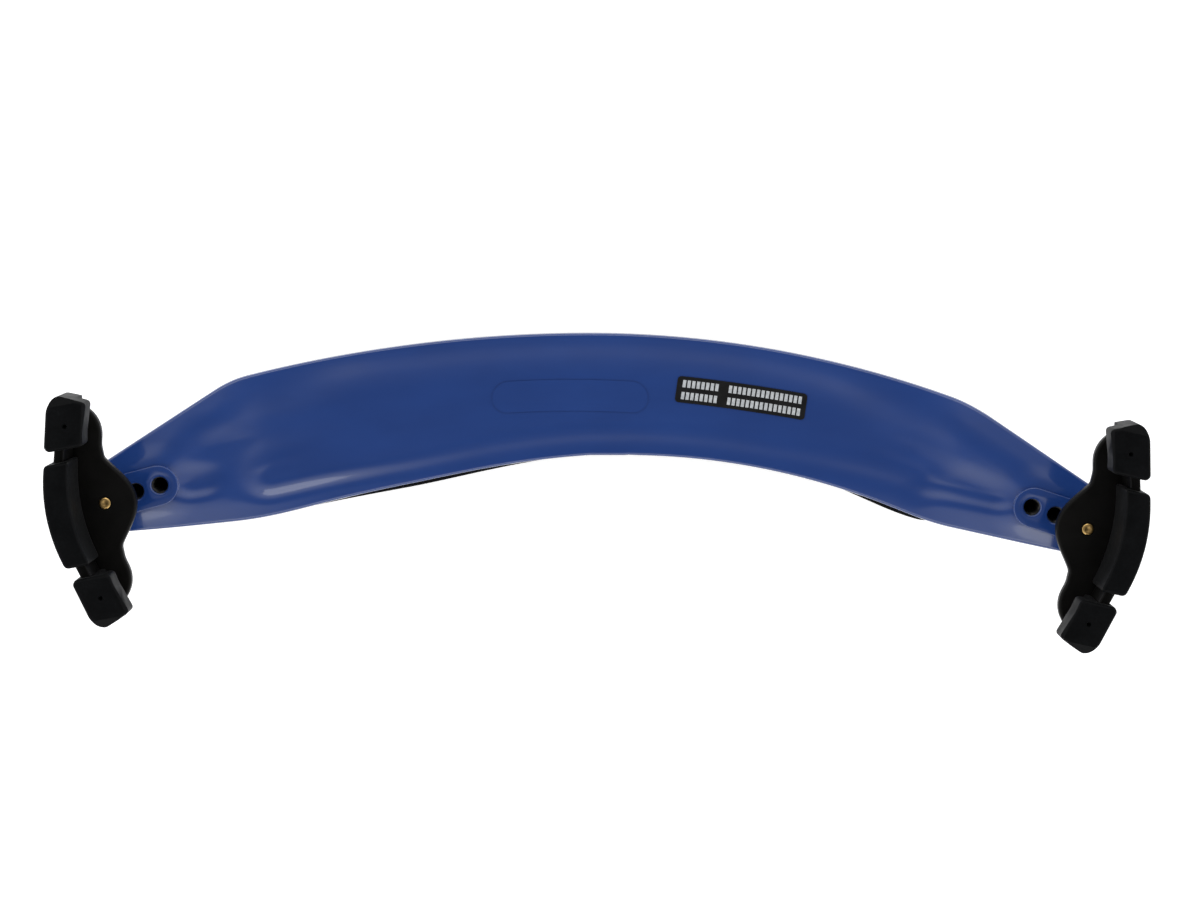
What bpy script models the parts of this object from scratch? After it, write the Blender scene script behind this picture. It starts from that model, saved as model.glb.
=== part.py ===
"""Viola shoulder rest: an arched moulded platform with a foam pad below and a turning fork at each end.

Metres, +Z up. The rest stands on its foam, with the forks upward, as it would lie on a table.
+X runs along the rest to the chin-side fork, +Y to the convex edge of the crescent.
Each post is screwed into one of three threaded bushes: that sets the width. Turning a fork turns its
post in the bush, and that sets the height.
"""

import bpy
import bmesh
from math import atan2, cos, pi, sin, sqrt
from mathutils import Vector

MM = 0.001

# ---- driving dimensions, millimetres ----
GAP = 0.3                       # clearance between pieces that touch
CUT_OVER = 1.0                  # how far a cutter or a joined solid runs past the face it works on
RUNNING_GAP = 0.1               # clearance round a post where its fork turns on it
SHELL_THICKNESS = 2.6
RIM_MID_Z = 18.5                # top of the rim at mid length
RIM_RISE = 15.0                 # how far the arch rises at RIM_RISE_X
RIM_RISE_X = 120.0
RIM_END_Z = 31.4                # the arch levels out here, around the bosses
RIM_BLEND = 2.0                 # how softly it levels out
FLOOR_MID_DEPTH = 1.2           # the tray's floor below its rim, at mid length
FLOOR_END_DEPTH = 2.7           # and from FLOOR_END_X outward
FLOOR_END_X = 80.0
WALL_WIDTH = 5.5                # width of the tray's sloping walls
FLOOR_CORNER_BLEND = 6.0
FLOOR_LEFT_X, FLOOR_RIGHT_X = -89.5, 91.0
SLOPE_STEP = 0.2                # for measuring the surface's slope

# convex edge: two arcs that meet at the apex, then a straight flank to each tip
APEX_X, APEX_Y = -1.8, 37.2
CONVEX_LEFT_R, CONVEX_RIGHT_R = 369.0, 280.0
LEFT_FLANK = ((-94.7, 24.6), (-121.8, 7.1))
RIGHT_FLANK = ((98.9, 17.5), (123.4, 1.1))
# concave edge: an arc on the right, two on the left, then a straight flank to each tip
HOLLOW_X, HOLLOW_Y = 8.2, 5.7
CONCAVE_RIGHT_R = 187.0
CONCAVE_LEFT_R = 500.0
CONCAVE_LEFT_CENTRE = (45.2, -492.7)
LEFT_HEEL = ((-87.7, -10.0), (-117.8, -12.5))
RIGHT_HEEL = ((89.4, -11.6), (116.9, -17.2))
CORNER_BLEND = 1.6
# the rounded tips, about the outer holes: centre, radius, and where each starts to draw in
LEFT_NOSE_CENTRE, RIGHT_NOSE_CENTRE = (-121.8, -3.6), (122.4, -9.2)
NOSE_R = 8.9
LEFT_NOSE_ANGLES = (274.8, 122.9)     # degrees, from the concave edge round to the convex edge
RIGHT_NOSE_ANGLES = (-101.5, 56.2)
LEFT_NOSE_START_X, RIGHT_NOSE_START_X = -95.5, 100.0

# bosses, bushes and the holes that set the width; the post is in the outer hole
LEFT_HOLES = ((-110.1, -0.3), (-116.2, -1.9), (-121.8, -3.4))
RIGHT_HOLES = ((110.5, -5.9), (116.5, -7.9), (122.5, -9.9))
HOLE_NAMES = ("inner", "middle", "outer")
BOSS_TOP_Z, BOSS_BOTTOM_Z = 33.5, 25.5
BOSS_HALF_WIDTH = 5.4
SOCKET_BOTTOM_Z, SOCKET_HALF_WIDTH = 15.2, 4.3    # the deep part of a boss, below the platform
HOLE_R, HOLE_CHAMFER = 2.15, 0.5
BUSH_R, BUSH_BORE_R = 2.5, 1.84
BUSH_TOP_Z, BUSH_BOTTOM_Z = 32.5, 15.5
BUSH_FLOOR = 0.8                # a bush is a cup: its lower end is closed
DRAWING_SHIFT = (-0.46, 0.73)   # puts the middle of the whole rest's box at the origin
ROUND_STEPS = 24                # sides of a turned piece
BOSS_END_STEPS = 10             # sides of a boss's rounded end
SHARP_ANGLE = 35.0              # degrees
SHELL_GRID = (58, 14)           # faces along and across the platform

# posts
POST_R, SPIGOT_R = 1.75, 1.4
POST_BOTTOM_Z = 22.0
POST_CHAMFER = 0.5

# forks, in their own axes: u outward, v along the wall, w up from the top of the plate
PLATE_TOP_Z = 45.5
PLATE_THICKNESS = 3.2
COLLAR_R, COLLAR_DROP = 4.5, 6.2
LEFT_FORK_YAW, RIGHT_FORK_YAW = 190.66, -12.7    # degrees
WAIST_U, WAIST_V, WAIST_BLEND = -1.9, 11.4, 0.7
LOBE_RISE, LOBE_POWER = 5.9, 1.15
END_LOBE_U, END_LOBE_V, END_LOBE_R = 5.3, 18.5, 8.0
PLATE_END_V = 26.4
WALL_U, WALL_R, WALL_STRAIGHT_V = 8.75, 42.0, 12.0
UPRIGHT_THICKNESS, UPRIGHT_HEIGHT, UPRIGHT_END_V = 2.6, 11.4, 25.4
PLATE_MARGIN = 2.6              # plate beyond the middle of the upright wall
PLATE_STEPS, WALL_STEPS, PAD_STEPS = 36, 18, 16     # sides along each curved edge
PAD_INNER_U, PAD_OUTER_U, PAD_INNER_R, PAD_END_V = 5.6, 11.9, 46.0, 12.9
BOOT_TOP = 14.5
CLAW_OUTLINE = ((8.9, 17.0), (8.2, 15.9), (-0.6, 15.9), (-1.3, 17.6), (-3.2, 25.2),
                (-2.6, 26.9), (0.0, 28.4), (2.6, 29.0), (4.6, 28.0), (6.4, 25.6))
CLAW_LIP_CLEARANCE = 7.0        # room for the instrument's edge between plate and lip
CLAW_LIP_U = 4.0                # the lip starts inward of this line
LIP_ROOM_V = (14.0, 30.0)       # where the room under the lip starts and ends
LIP_ROOM_U = -12.0              # and how far inward it reaches
CLAW_DIMPLE = (2.8, 21.4)
DIMPLE_R, DIMPLE_DEPTH = 0.5, 1.2

# foam pad and what holds it
FOAM_LEFT_X, FOAM_RIGHT_X = -84.8, 91.2
FOAM_INSET, FOAM_PROUD = 0.5, 0.9
FOAM_FLAT_X, FOAM_END_LIFT, FOAM_END_POWER = 42.0, 12.8, 1.7
PAD_END_R, PAD_END_PINCH = 9.0, 0.75    # rounding of the ends of the foam and of the sheet
EDGE_CLAMP = 0.3                # the foam's top is level past this line inside the platform's edge
STRIP_GRID = (40, 10)
SHEET_THICKNESS, SHEET_INSET = 0.4, 6.5
FACET_MARGIN = 0.15             # extra room where flat facets lie over a curved wall

# label on the tray's floor
LABEL_CENTRE = (37.7, 20.1)
LABEL_LENGTH, LABEL_WIDTH, LABEL_CORNER_R = 33.9, 6.3, 1.0
LABEL_TILT = -7.8               # degrees
LABEL_THICKNESS = 0.25
LABEL_CORNER_PINCH = 0.9        # below 1, so that the ends keep some width
LABEL_GRID = (18, 2)

COLOURS = {
    "blue_plastic": ((0.032, 0.075, 0.235), 0.16, 0.0),
    "black_plastic": ((0.012, 0.012, 0.011), 0.38, 0.0),
    "black_rubber": ((0.013, 0.016, 0.020), 0.55, 0.0),
    "black_foam": ((0.010, 0.010, 0.010), 0.95, 0.0),
    "adhesive": ((0.55, 0.53, 0.47), 0.60, 0.0),
    "label_film": ((0.012, 0.012, 0.013), 0.40, 0.0),
    "nylon": ((0.010, 0.010, 0.010), 0.45, 0.0),
    "brass": ((0.58, 0.40, 0.15), 0.28, 1.0),
}


def clear_scene():
    for obj in list(bpy.data.objects):
        bpy.data.objects.remove(obj, do_unlink=True)


def new_collection(name):
    collection = bpy.data.collections.new(name)
    bpy.context.scene.collection.children.link(collection)
    return collection


clear_scene()
PARTS = new_collection("viola_shoulder_rest")
CUTTERS = new_collection("cutters")


def give_material(obj, look):
    """Each piece has its own Principled material."""
    colour, roughness, metallic = COLOURS[look]
    material = bpy.data.materials.new(obj.name + "_" + look)
    material.use_nodes = True
    shader = material.node_tree.nodes["Principled BSDF"]
    shader.inputs["Base Color"].default_value = (*colour, 1.0)
    shader.inputs["Roughness"].default_value = roughness
    shader.inputs["Metallic"].default_value = metallic
    obj.data.materials.append(material)


def add_object(name, mesh, collection=None):
    obj = bpy.data.objects.new(name, mesh)
    (collection or PARTS).objects.link(obj)
    return obj


def as_cutter(obj):
    """A helper solid that only shapes its neighbours."""
    for owner in list(obj.users_collection):
        owner.objects.unlink(obj)
    CUTTERS.objects.link(obj)
    obj.hide_render = True
    obj.display_type = "WIRE"
    return obj


def boolean(obj, other, operation):
    modifier = obj.modifiers.new(operation.title(), "BOOLEAN")
    modifier.object = other
    modifier.operation = operation
    modifier.solver = "EXACT"


def shade_round(obj):
    obj.data.shade_smooth()
    obj.data.set_sharp_from_angle(angle=SHARP_ANGLE * pi / 180)


# ---- the platform's outline and surface, as formulas in millimetres ----

def smooth_min(a, b, blend):
    """The lower of two values, with a rounded change from one to the other."""
    h = max(blend - abs(a - b), 0.0) / blend
    return min(a, b) - h * h * blend / 4


def smooth_max(a, b, blend):
    return -smooth_min(-a, -b, blend)


def smooth_step(t):
    t = min(max(t, 0.0), 1.0)
    return t * t * (3 - 2 * t)


def arc_drop(dx, radius):
    """How far an arc falls below its apex at a distance dx from it."""
    return radius - sqrt(max(radius * radius - dx * dx, 0.0))


def line_y(line, x):
    (x0, y0), (x1, y1) = line
    return y0 + (y1 - y0) * (x - x0) / (x1 - x0)


def convex_edge(x):
    radius = CONVEX_LEFT_R if x < APEX_X else CONVEX_RIGHT_R
    y = APEX_Y - arc_drop(x - APEX_X, radius)
    y = smooth_min(y, line_y(LEFT_FLANK, x), CORNER_BLEND)
    return smooth_min(y, line_y(RIGHT_FLANK, x), CORNER_BLEND)


def concave_edge(x):
    arc = HOLLOW_Y - arc_drop(x - HOLLOW_X, CONCAVE_RIGHT_R)
    if x > HOLLOW_X:
        return smooth_max(arc, line_y(RIGHT_HEEL, x), CORNER_BLEND)
    centre_x, centre_y = CONCAVE_LEFT_CENTRE
    flat_arc = centre_y + sqrt(CONCAVE_LEFT_R ** 2 - (x - centre_x) ** 2)
    arc = min(smooth_max(arc, flat_arc, CORNER_BLEND), HOLLOW_Y)
    return smooth_max(arc, line_y(LEFT_HEEL, x), CORNER_BLEND)


def rim_height(x):
    arch = RIM_MID_Z + RIM_RISE * (x / RIM_RISE_X) ** 2
    return smooth_min(arch, RIM_END_Z, RIM_BLEND)


def floor_depth(x):
    """The tray is shallow at mid length and deeper toward its ends."""
    return FLOOR_MID_DEPTH + (FLOOR_END_DEPTH - FLOOR_MID_DEPTH) * smooth_step(abs(x) / FLOOR_END_X)


def top_height(x, y):
    """The platform's upper surface: the arched rim, with the tray's floor sunk into it."""
    to_edge = min(convex_edge(x) - y, y - concave_edge(x))
    to_end = min(x - FLOOR_LEFT_X, FLOOR_RIGHT_X - x)
    inside = smooth_min(to_edge, to_end, FLOOR_CORNER_BLEND)
    return rim_height(x) - floor_depth(x) * smooth_step(inside / WALL_WIDTH)


def under_height(x, y):
    """The platform's lower surface, for the pieces that lie against it."""
    step = SLOPE_STEP
    slope_x = (top_height(x + step, y) - top_height(x - step, y)) / (2 * step)
    slope_y = (top_height(x, y + step) - top_height(x, y - step)) / (2 * step)
    return top_height(x, y) - SHELL_THICKNESS * sqrt(1 + slope_x ** 2 + slope_y ** 2)


def straight_column(x, across):
    """A point across the platform at x, with more points near the edges, where the walls are."""
    share = (1 - cos(pi * across)) / 2
    return Vector((x, concave_edge(x) * (1 - share) + convex_edge(x) * share))


def nose_column(centre, angles, across):
    """A point of the rounded tip's outline."""
    angle = (angles[0] + (angles[1] - angles[0]) * across) * pi / 180
    return Vector(centre) + NOSE_R * Vector((cos(angle), sin(angle)))


def plan_point(along, across):
    """Plan position for along and across in 0..1. The last columns draw in to the rounded tips."""
    x = LEFT_NOSE_CENTRE[0] + (RIGHT_NOSE_CENTRE[0] - LEFT_NOSE_CENTRE[0]) * along
    for start, centre, angles in (
            (LEFT_NOSE_START_X, LEFT_NOSE_CENTRE, LEFT_NOSE_ANGLES),
            (RIGHT_NOSE_START_X, RIGHT_NOSE_CENTRE, RIGHT_NOSE_ANGLES)):
        share = (x - start) / (centre[0] - start)
        if share > 0:
            return straight_column(start, across).lerp(nose_column(centre, angles, across), share)
    return straight_column(x, across)


def grid_mesh(name, columns, rows, place):
    """A grid primitive whose points are moved to place(along, across), in millimetres."""
    bm = bmesh.new()
    bmesh.ops.create_grid(bm, x_segments=columns, y_segments=rows, size=0.5)
    for vert in bm.verts:
        vert.co = Vector(place(vert.co.x + 0.5, vert.co.y + 0.5)) * MM
    bmesh.ops.recalc_face_normals(bm, faces=bm.faces)
    if sum(face.normal.z for face in bm.faces) < 0:
        bmesh.ops.reverse_faces(bm, faces=bm.faces)
    mesh = bpy.data.meshes.new(name)
    bm.to_mesh(mesh)
    bm.free()
    return mesh


def slab_mesh(name, columns, rows, plan, top, bottom):
    """A closed solid between two height formulas over the same plan."""
    bm = bmesh.new()
    bmesh.ops.create_grid(bm, x_segments=columns, y_segments=rows, size=0.5)
    for vert in bm.verts:
        x, y = plan(vert.co.x + 0.5, vert.co.y + 0.5)
        vert.co = Vector((x, y, bottom(x, y))) * MM
    upper = bmesh.ops.duplicate(bm, geom=bm.verts[:] + bm.edges[:] + bm.faces[:])
    raised = [item for item in upper["geom"] if isinstance(item, bmesh.types.BMVert)]
    for vert in raised:
        x, y = vert.co.x / MM, vert.co.y / MM
        vert.co.z = top(x, y) * MM
    rim = [edge for edge in bm.edges if edge.is_boundary]
    bmesh.ops.bridge_loops(bm, edges=rim)
    bmesh.ops.recalc_face_normals(bm, faces=bm.faces)
    if bm.calc_volume(signed=True) < 0:
        bmesh.ops.reverse_faces(bm, faces=bm.faces)
    mesh = bpy.data.meshes.new(name)
    bm.to_mesh(mesh)
    bm.free()
    return mesh


def prism(name, outline, low_z, high_z, collection=None):
    """A flat outline in millimetres, extruded from low_z to high_z, as a mesh object."""
    curve = bpy.data.curves.new(name, "CURVE")
    curve.dimensions = "2D"
    curve.fill_mode = "BOTH"
    curve.extrude = (high_z - low_z) * MM / 2
    spline = curve.splines.new("POLY")
    spline.points.add(len(outline) - 1)
    for point, (x, y) in zip(spline.points, outline):
        point.co = (x * MM, y * MM, 0.0, 1.0)
    spline.use_cyclic_u = True
    guide = add_object(name + "_outline", curve)
    guide.location.z = (high_z + low_z) * MM / 2
    bpy.context.view_layer.update()
    depsgraph = bpy.context.evaluated_depsgraph_get()
    mesh = bpy.data.meshes.new_from_object(guide.evaluated_get(depsgraph))
    mesh.transform(guide.matrix_world)
    bpy.data.objects.remove(guide, do_unlink=True)
    bpy.data.curves.remove(curve)
    bm = bmesh.new()
    bm.from_mesh(mesh)
    bmesh.ops.remove_doubles(bm, verts=bm.verts, dist=1e-6)
    bmesh.ops.recalc_face_normals(bm, faces=bm.faces)
    bm.to_mesh(mesh)
    bm.free()
    mesh.name = name
    return add_object(name, mesh, collection)


def turned(name, profile):
    """A profile of (radius, height) points, running down its outer side, turned about Z."""
    mesh = bpy.data.meshes.new(name)
    points = [(radius * MM, 0.0, height * MM) for radius, height in profile]
    edges = [(i, i + 1) for i in range(len(points) - 1)]
    mesh.from_pydata(points, edges, [])
    obj = add_object(name, mesh)
    screw = obj.modifiers.new("Screw", "SCREW")
    screw.steps = ROUND_STEPS
    screw.render_steps = ROUND_STEPS
    screw.use_merge_vertices = True
    screw.merge_threshold = 0.00001
    screw.use_smooth_shade = True
    return obj


# ---- the platform ----

def boss_outline(holes, half_width):
    """A stadium round the row of holes."""
    inner, outer = Vector(holes[0]), Vector(holes[-1])
    way = (outer - inner).normalized()
    start = atan2(way.y, way.x)
    points = []
    for centre, turn in ((outer, -pi / 2), (inner, pi / 2)):
        for step in range(BOSS_END_STEPS + 1):
            angle = start + turn + pi * step / BOSS_END_STEPS
            points.append(centre + half_width * Vector((cos(angle), sin(angle))))
    return points


def hole_cutter(name, centre):
    """Clearance hole with a chamfered mouth above, pocket for the bush below."""
    pocket_r = BUSH_R + GAP
    ceiling = BUSH_TOP_Z + GAP
    mouth_r = HOLE_R + HOLE_CHAMFER
    above, below = BOSS_TOP_Z + CUT_OVER, SOCKET_BOTTOM_Z - CUT_OVER
    profile = [(0.0, above), (mouth_r, above), (mouth_r, BOSS_TOP_Z),
               (HOLE_R, BOSS_TOP_Z - HOLE_CHAMFER), (HOLE_R, ceiling), (pocket_r, ceiling),
               (pocket_r, below), (0.0, below)]
    cutter = as_cutter(turned(name, profile))
    cutter.location = (centre[0] * MM, centre[1] * MM, 0.0)
    return cutter


def make_platform_shell():
    def place(along, across):
        point = plan_point(along, across)
        return point.x, point.y, top_height(point.x, point.y)

    shell = add_object("platform_shell", grid_mesh("platform_shell", *SHELL_GRID, place))
    give_material(shell, "blue_plastic")
    solid = shell.modifiers.new("Solidify", "SOLIDIFY")
    solid.thickness = SHELL_THICKNESS * MM
    solid.offset = -1.0
    for side, holes in (("left", LEFT_HOLES), ("right", RIGHT_HOLES)):
        boss = prism(side + "_boss", boss_outline(holes, BOSS_HALF_WIDTH), BOSS_BOTTOM_Z, BOSS_TOP_Z)
        boolean(shell, as_cutter(boss), "UNION")
        socket = prism(side + "_socket", boss_outline(holes, SOCKET_HALF_WIDTH), SOCKET_BOTTOM_Z,
                       BOSS_BOTTOM_Z + CUT_OVER)
        boolean(shell, as_cutter(socket), "UNION")
    for side, holes in (("left", LEFT_HOLES), ("right", RIGHT_HOLES)):
        for hole, centre in zip(HOLE_NAMES, holes):
            boolean(shell, hole_cutter(side + "_hole_" + hole, centre), "DIFFERENCE")
    shade_round(shell)


def make_bushes(side, holes):
    """Each bush is a cup, closed below, that stands in for a threaded one."""
    inner_floor = BUSH_BOTTOM_Z + BUSH_FLOOR
    profile = [(0.0, inner_floor), (BUSH_BORE_R, inner_floor), (BUSH_BORE_R, BUSH_TOP_Z),
               (BUSH_R, BUSH_TOP_Z), (BUSH_R, BUSH_BOTTOM_Z), (0.0, BUSH_BOTTOM_Z)]
    for hole, (x, y) in zip(HOLE_NAMES, holes):
        bush = turned(side + "_bush_" + hole, profile)
        bush.location = (x * MM, y * MM, 0.0)
        give_material(bush, "nylon")


# ---- foam pad, adhesive sheet and label ----

def foam_top(x, y):
    return under_height(x, y) - 2 * (GAP + FACET_MARGIN) - SHEET_THICKNESS


def foam_bottom(x, y):
    past = max(abs(x) - FOAM_FLAT_X, 0.0) / (FOAM_RIGHT_X - FOAM_FLAT_X)
    return FOAM_END_LIFT * past ** FOAM_END_POWER


def pad_plan(inset_high, inset_low, inset_end):
    """Plan of a strip under the platform, with rounded ends."""
    left, right = FOAM_LEFT_X + inset_end, FOAM_RIGHT_X - inset_end

    def plan(along, across):
        x = left + (right - left) * along
        to_end = min(x - left, right - x)
        pinch = arc_drop(max(PAD_END_R - to_end, 0.0), PAD_END_R) * PAD_END_PINCH
        low = concave_edge(x) + inset_low + pinch
        high = convex_edge(x) - inset_high - pinch
        return x, low + (high - low) * (1 - cos(pi * across)) / 2

    return plan


def clamped(height):
    """The same height formula, held to its value at the platform's edge outside it."""
    def inner(x, y):
        return height(x, min(max(y, concave_edge(x) + EDGE_CLAMP), convex_edge(x) - EDGE_CLAMP))
    return inner


def make_foam_pad():
    plan = pad_plan(FOAM_INSET, -FOAM_PROUD, 0.0)
    mesh = slab_mesh("foam_pad", *STRIP_GRID, plan, clamped(foam_top), foam_bottom)
    give_material(add_object("foam_pad", mesh), "black_foam")


def make_adhesive_sheet():
    def top(x, y):
        return under_height(x, y) - GAP

    def bottom(x, y):
        return top(x, y) - SHEET_THICKNESS

    plan = pad_plan(SHEET_INSET, SHEET_INSET, SHEET_INSET)
    mesh = slab_mesh("adhesive_sheet", *STRIP_GRID, plan, top, bottom)
    give_material(add_object("adhesive_sheet", mesh), "adhesive")


def make_blank_label():
    tilt = LABEL_TILT * pi / 180
    half_length, half_width = LABEL_LENGTH / 2, LABEL_WIDTH / 2

    def plan(along, across):
        u = half_length * (2 * along - 1)
        to_end = half_length - abs(u)
        pinch = arc_drop(max(LABEL_CORNER_R - to_end, 0.0), LABEL_CORNER_R) * LABEL_CORNER_PINCH
        v = (half_width - pinch) * (2 * across - 1)
        v -= u * u / (2 * CONVEX_RIGHT_R)
        return (LABEL_CENTRE[0] + u * cos(tilt) - v * sin(tilt),
                LABEL_CENTRE[1] + u * sin(tilt) + v * cos(tilt))

    def bottom(x, y):
        return top_height(x, y) + GAP

    def top(x, y):
        return bottom(x, y) + LABEL_THICKNESS

    mesh = slab_mesh("blank_label", *LABEL_GRID, plan, top, bottom)
    give_material(add_object("blank_label", mesh), "label_film")


# ---- posts and forks ----

def make_post(side, centre):
    """Shank in the bush, shoulder under the collar, spigot up through the plate."""
    shoulder = PLATE_TOP_Z - COLLAR_DROP - GAP
    profile = [(0.0, PLATE_TOP_Z), (SPIGOT_R, PLATE_TOP_Z), (SPIGOT_R, shoulder), (POST_R, shoulder),
               (POST_R, POST_BOTTOM_Z + POST_CHAMFER), (POST_R - POST_CHAMFER, POST_BOTTOM_Z),
               (0.0, POST_BOTTOM_Z)]
    post = turned(side + "_post", profile)
    post.location = (centre[0] * MM, centre[1] * MM, 0.0)
    give_material(post, "brass")


def wall_middle(v):
    """Outward place of the middle of the upright wall: an arc, straight past WALL_STRAIGHT_V."""
    reach = min(abs(v), WALL_STRAIGHT_V)
    u = WALL_U - reach * reach / (2 * WALL_R)
    return u - (abs(v) - reach) * WALL_STRAIGHT_V / WALL_R


def plate_inner(v):
    """The plate's inner edge: a lobe round the post, a waist, and a lobe under each claw."""
    v = abs(v)
    if v < WAIST_V:
        return WAIST_U - LOBE_RISE * cos(pi * v / (2 * WAIST_V)) ** LOBE_POWER
    lobe = END_LOBE_U - sqrt(END_LOBE_R ** 2 - (v - END_LOBE_V) ** 2)
    if v < END_LOBE_V:
        return smooth_min(WAIST_U, lobe, WAIST_BLEND)
    return lobe


def strip_outline(inner, outer, end_v, steps):
    """A closed outline between two edges, from -end_v to +end_v, with more points near the ends."""
    stations = [end_v * sin(pi * (i / steps - 0.5)) for i in range(steps + 1)]
    points = [(inner(v), v) for v in stations]
    points += [(outer(v), v) for v in reversed(stations)]
    return points


def fork_piece(name, axis, obj, look):
    obj.name = name
    obj.data.name = name
    obj.parent = axis
    give_material(obj, look)
    return obj


def fork_cutter(axis, obj):
    obj.parent = axis
    return as_cutter(obj)


def upright_band(name, clearance, end_v, low_w, high_w):
    """The upright wall, or with clearance the slot that fits over it."""
    half = UPRIGHT_THICKNESS / 2 + clearance
    outline = strip_outline(lambda v: wall_middle(v) - half, lambda v: wall_middle(v) + half, end_v,
                            WALL_STEPS)
    return prism(name, outline, low_w, high_w)


def make_fork_plate(side, axis):
    outline = strip_outline(plate_inner, lambda v: wall_middle(v) + PLATE_MARGIN, PLATE_END_V,
                            PLATE_STEPS)
    plate = prism(side + "_plate_blank", outline, -PLATE_THICKNESS, 0.0)
    fork_piece(side + "_fork_plate", axis, plate, "black_plastic")
    wall = upright_band(side + "_upright", 0.0, UPRIGHT_END_V, -CUT_OVER, UPRIGHT_HEIGHT)
    boolean(plate, fork_cutter(axis, wall), "UNION")
    collar = turned(side + "_collar", [(0.0, -CUT_OVER), (COLLAR_R, -CUT_OVER), (COLLAR_R, -COLLAR_DROP),
                                       (0.0, -COLLAR_DROP)])
    boolean(plate, fork_cutter(axis, collar), "UNION")
    bore_r, below = SPIGOT_R + RUNNING_GAP, -COLLAR_DROP - CUT_OVER
    bore = turned(side + "_bore", [(0.0, CUT_OVER), (bore_r, CUT_OVER), (bore_r, below), (0.0, below)])
    boolean(plate, fork_cutter(axis, bore), "DIFFERENCE")


def make_rib_pad(side, axis):
    outline = strip_outline(lambda v: PAD_INNER_U - v * v / (2 * PAD_INNER_R),
                            lambda v: PAD_OUTER_U - v * v / (2 * WALL_R), PAD_END_V, PAD_STEPS)
    pad = prism(side + "_pad_blank", outline, GAP, BOOT_TOP)
    fork_piece(side + "_rib_pad", axis, pad, "black_rubber")
    slot = upright_band(side + "_pad_slot", GAP, PAD_END_V + CUT_OVER, -CUT_OVER,
                        UPRIGHT_HEIGHT + GAP)
    boolean(pad, fork_cutter(axis, slot), "DIFFERENCE")


def make_claw(side, axis, name, sign):
    """A boot over one end of the wall, with a lip that reaches inward over the plate."""
    outline = [(u, sign * v) for u, v in CLAW_OUTLINE]
    claw = prism(side + "_claw_blank", outline, GAP, BOOT_TOP)
    fork_piece(side + "_" + name + "_claw", axis, claw, "black_rubber")
    slot = upright_band(side + "_" + name + "_slot", GAP, UPRIGHT_END_V + GAP,
                        -CUT_OVER, UPRIGHT_HEIGHT + GAP)
    boolean(claw, fork_cutter(axis, slot), "DIFFERENCE")
    start_v, end_v = LIP_ROOM_V
    far_u = CLAW_LIP_U - (end_v - start_v) * WALL_STRAIGHT_V / WALL_R
    under = [(CLAW_LIP_U, sign * start_v), (far_u, sign * end_v), (LIP_ROOM_U, sign * end_v),
             (LIP_ROOM_U, sign * start_v)]
    room = prism(side + "_" + name + "_lip_room", under, -CUT_OVER, CLAW_LIP_CLEARANCE)
    boolean(claw, fork_cutter(axis, room), "DIFFERENCE")
    dimple = turned(side + "_" + name + "_dimple",
                    [(0.0, BOOT_TOP + CUT_OVER), (DIMPLE_R, BOOT_TOP + CUT_OVER),
                     (DIMPLE_R, BOOT_TOP - DIMPLE_DEPTH), (0.0, BOOT_TOP - DIMPLE_DEPTH)])
    dimple.location = (CLAW_DIMPLE[0] * MM, sign * CLAW_DIMPLE[1] * MM, 0.0)
    boolean(claw, fork_cutter(axis, dimple), "DIFFERENCE")


def make_fork(side, centre, yaw, upper_sign):
    axis = bpy.data.objects.new(side + "_fork_axis", None)
    PARTS.objects.link(axis)
    axis.location = (centre[0] * MM, centre[1] * MM, PLATE_TOP_Z * MM)
    axis.rotation_euler.z = yaw * pi / 180
    make_fork_plate(side, axis)
    make_rib_pad(side, axis)
    make_claw(side, axis, "upper", upper_sign)
    make_claw(side, axis, "lower", -upper_sign)


def centre_on_origin():
    """Hang everything from one empty, which carries the drawing's small shift."""
    origin = bpy.data.objects.new("rest_origin", None)
    PARTS.objects.link(origin)
    for obj in bpy.data.objects:
        if obj.parent is None and obj is not origin:
            obj.parent = origin
    origin.location = (DRAWING_SHIFT[0] * MM, DRAWING_SHIFT[1] * MM, 0.0)


make_platform_shell()
make_foam_pad()
make_adhesive_sheet()
make_blank_label()
for side_name, hole_row, yaw_angle, sign_up in (
        ("left", LEFT_HOLES, LEFT_FORK_YAW, -1),
        ("right", RIGHT_HOLES, RIGHT_FORK_YAW, 1)):
    make_bushes(side_name, hole_row)
    make_post(side_name, hole_row[-1])
    make_fork(side_name, hole_row[-1], yaw_angle, sign_up)
centre_on_origin()
bpy.context.view_layer.update()
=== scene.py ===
"""Looks of the viola shoulder rest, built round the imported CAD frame.

Lengths are in millimetres in the drawing's own coordinates, the same as the CAD's, and at() turns them
into the frame's metres. Outlines, arch and forks follow the same formulas as the CAD, drawn finer.
"""

from math import atan2, cos, pi, radians, sin, sqrt

import bpy
import bmesh
from mathutils import Matrix, Vector, noise


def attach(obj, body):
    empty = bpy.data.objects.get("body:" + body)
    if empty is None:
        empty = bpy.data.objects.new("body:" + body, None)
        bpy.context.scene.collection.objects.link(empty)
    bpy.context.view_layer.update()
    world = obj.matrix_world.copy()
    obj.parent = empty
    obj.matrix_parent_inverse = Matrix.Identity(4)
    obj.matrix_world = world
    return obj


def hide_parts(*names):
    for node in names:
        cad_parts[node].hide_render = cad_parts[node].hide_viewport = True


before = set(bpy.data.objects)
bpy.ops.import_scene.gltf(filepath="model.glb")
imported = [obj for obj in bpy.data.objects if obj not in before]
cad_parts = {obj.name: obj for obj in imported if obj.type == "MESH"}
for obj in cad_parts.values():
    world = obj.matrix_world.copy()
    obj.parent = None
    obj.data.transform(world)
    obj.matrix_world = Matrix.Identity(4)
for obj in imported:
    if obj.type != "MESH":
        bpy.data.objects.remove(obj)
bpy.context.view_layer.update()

MM = 0.001
WELD = 1e-6  # metres; a curve's caps are welded on within this
SHIFT_X, SHIFT_Y = -0.46, 0.73  # the drawing's origin against the frame's

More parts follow.
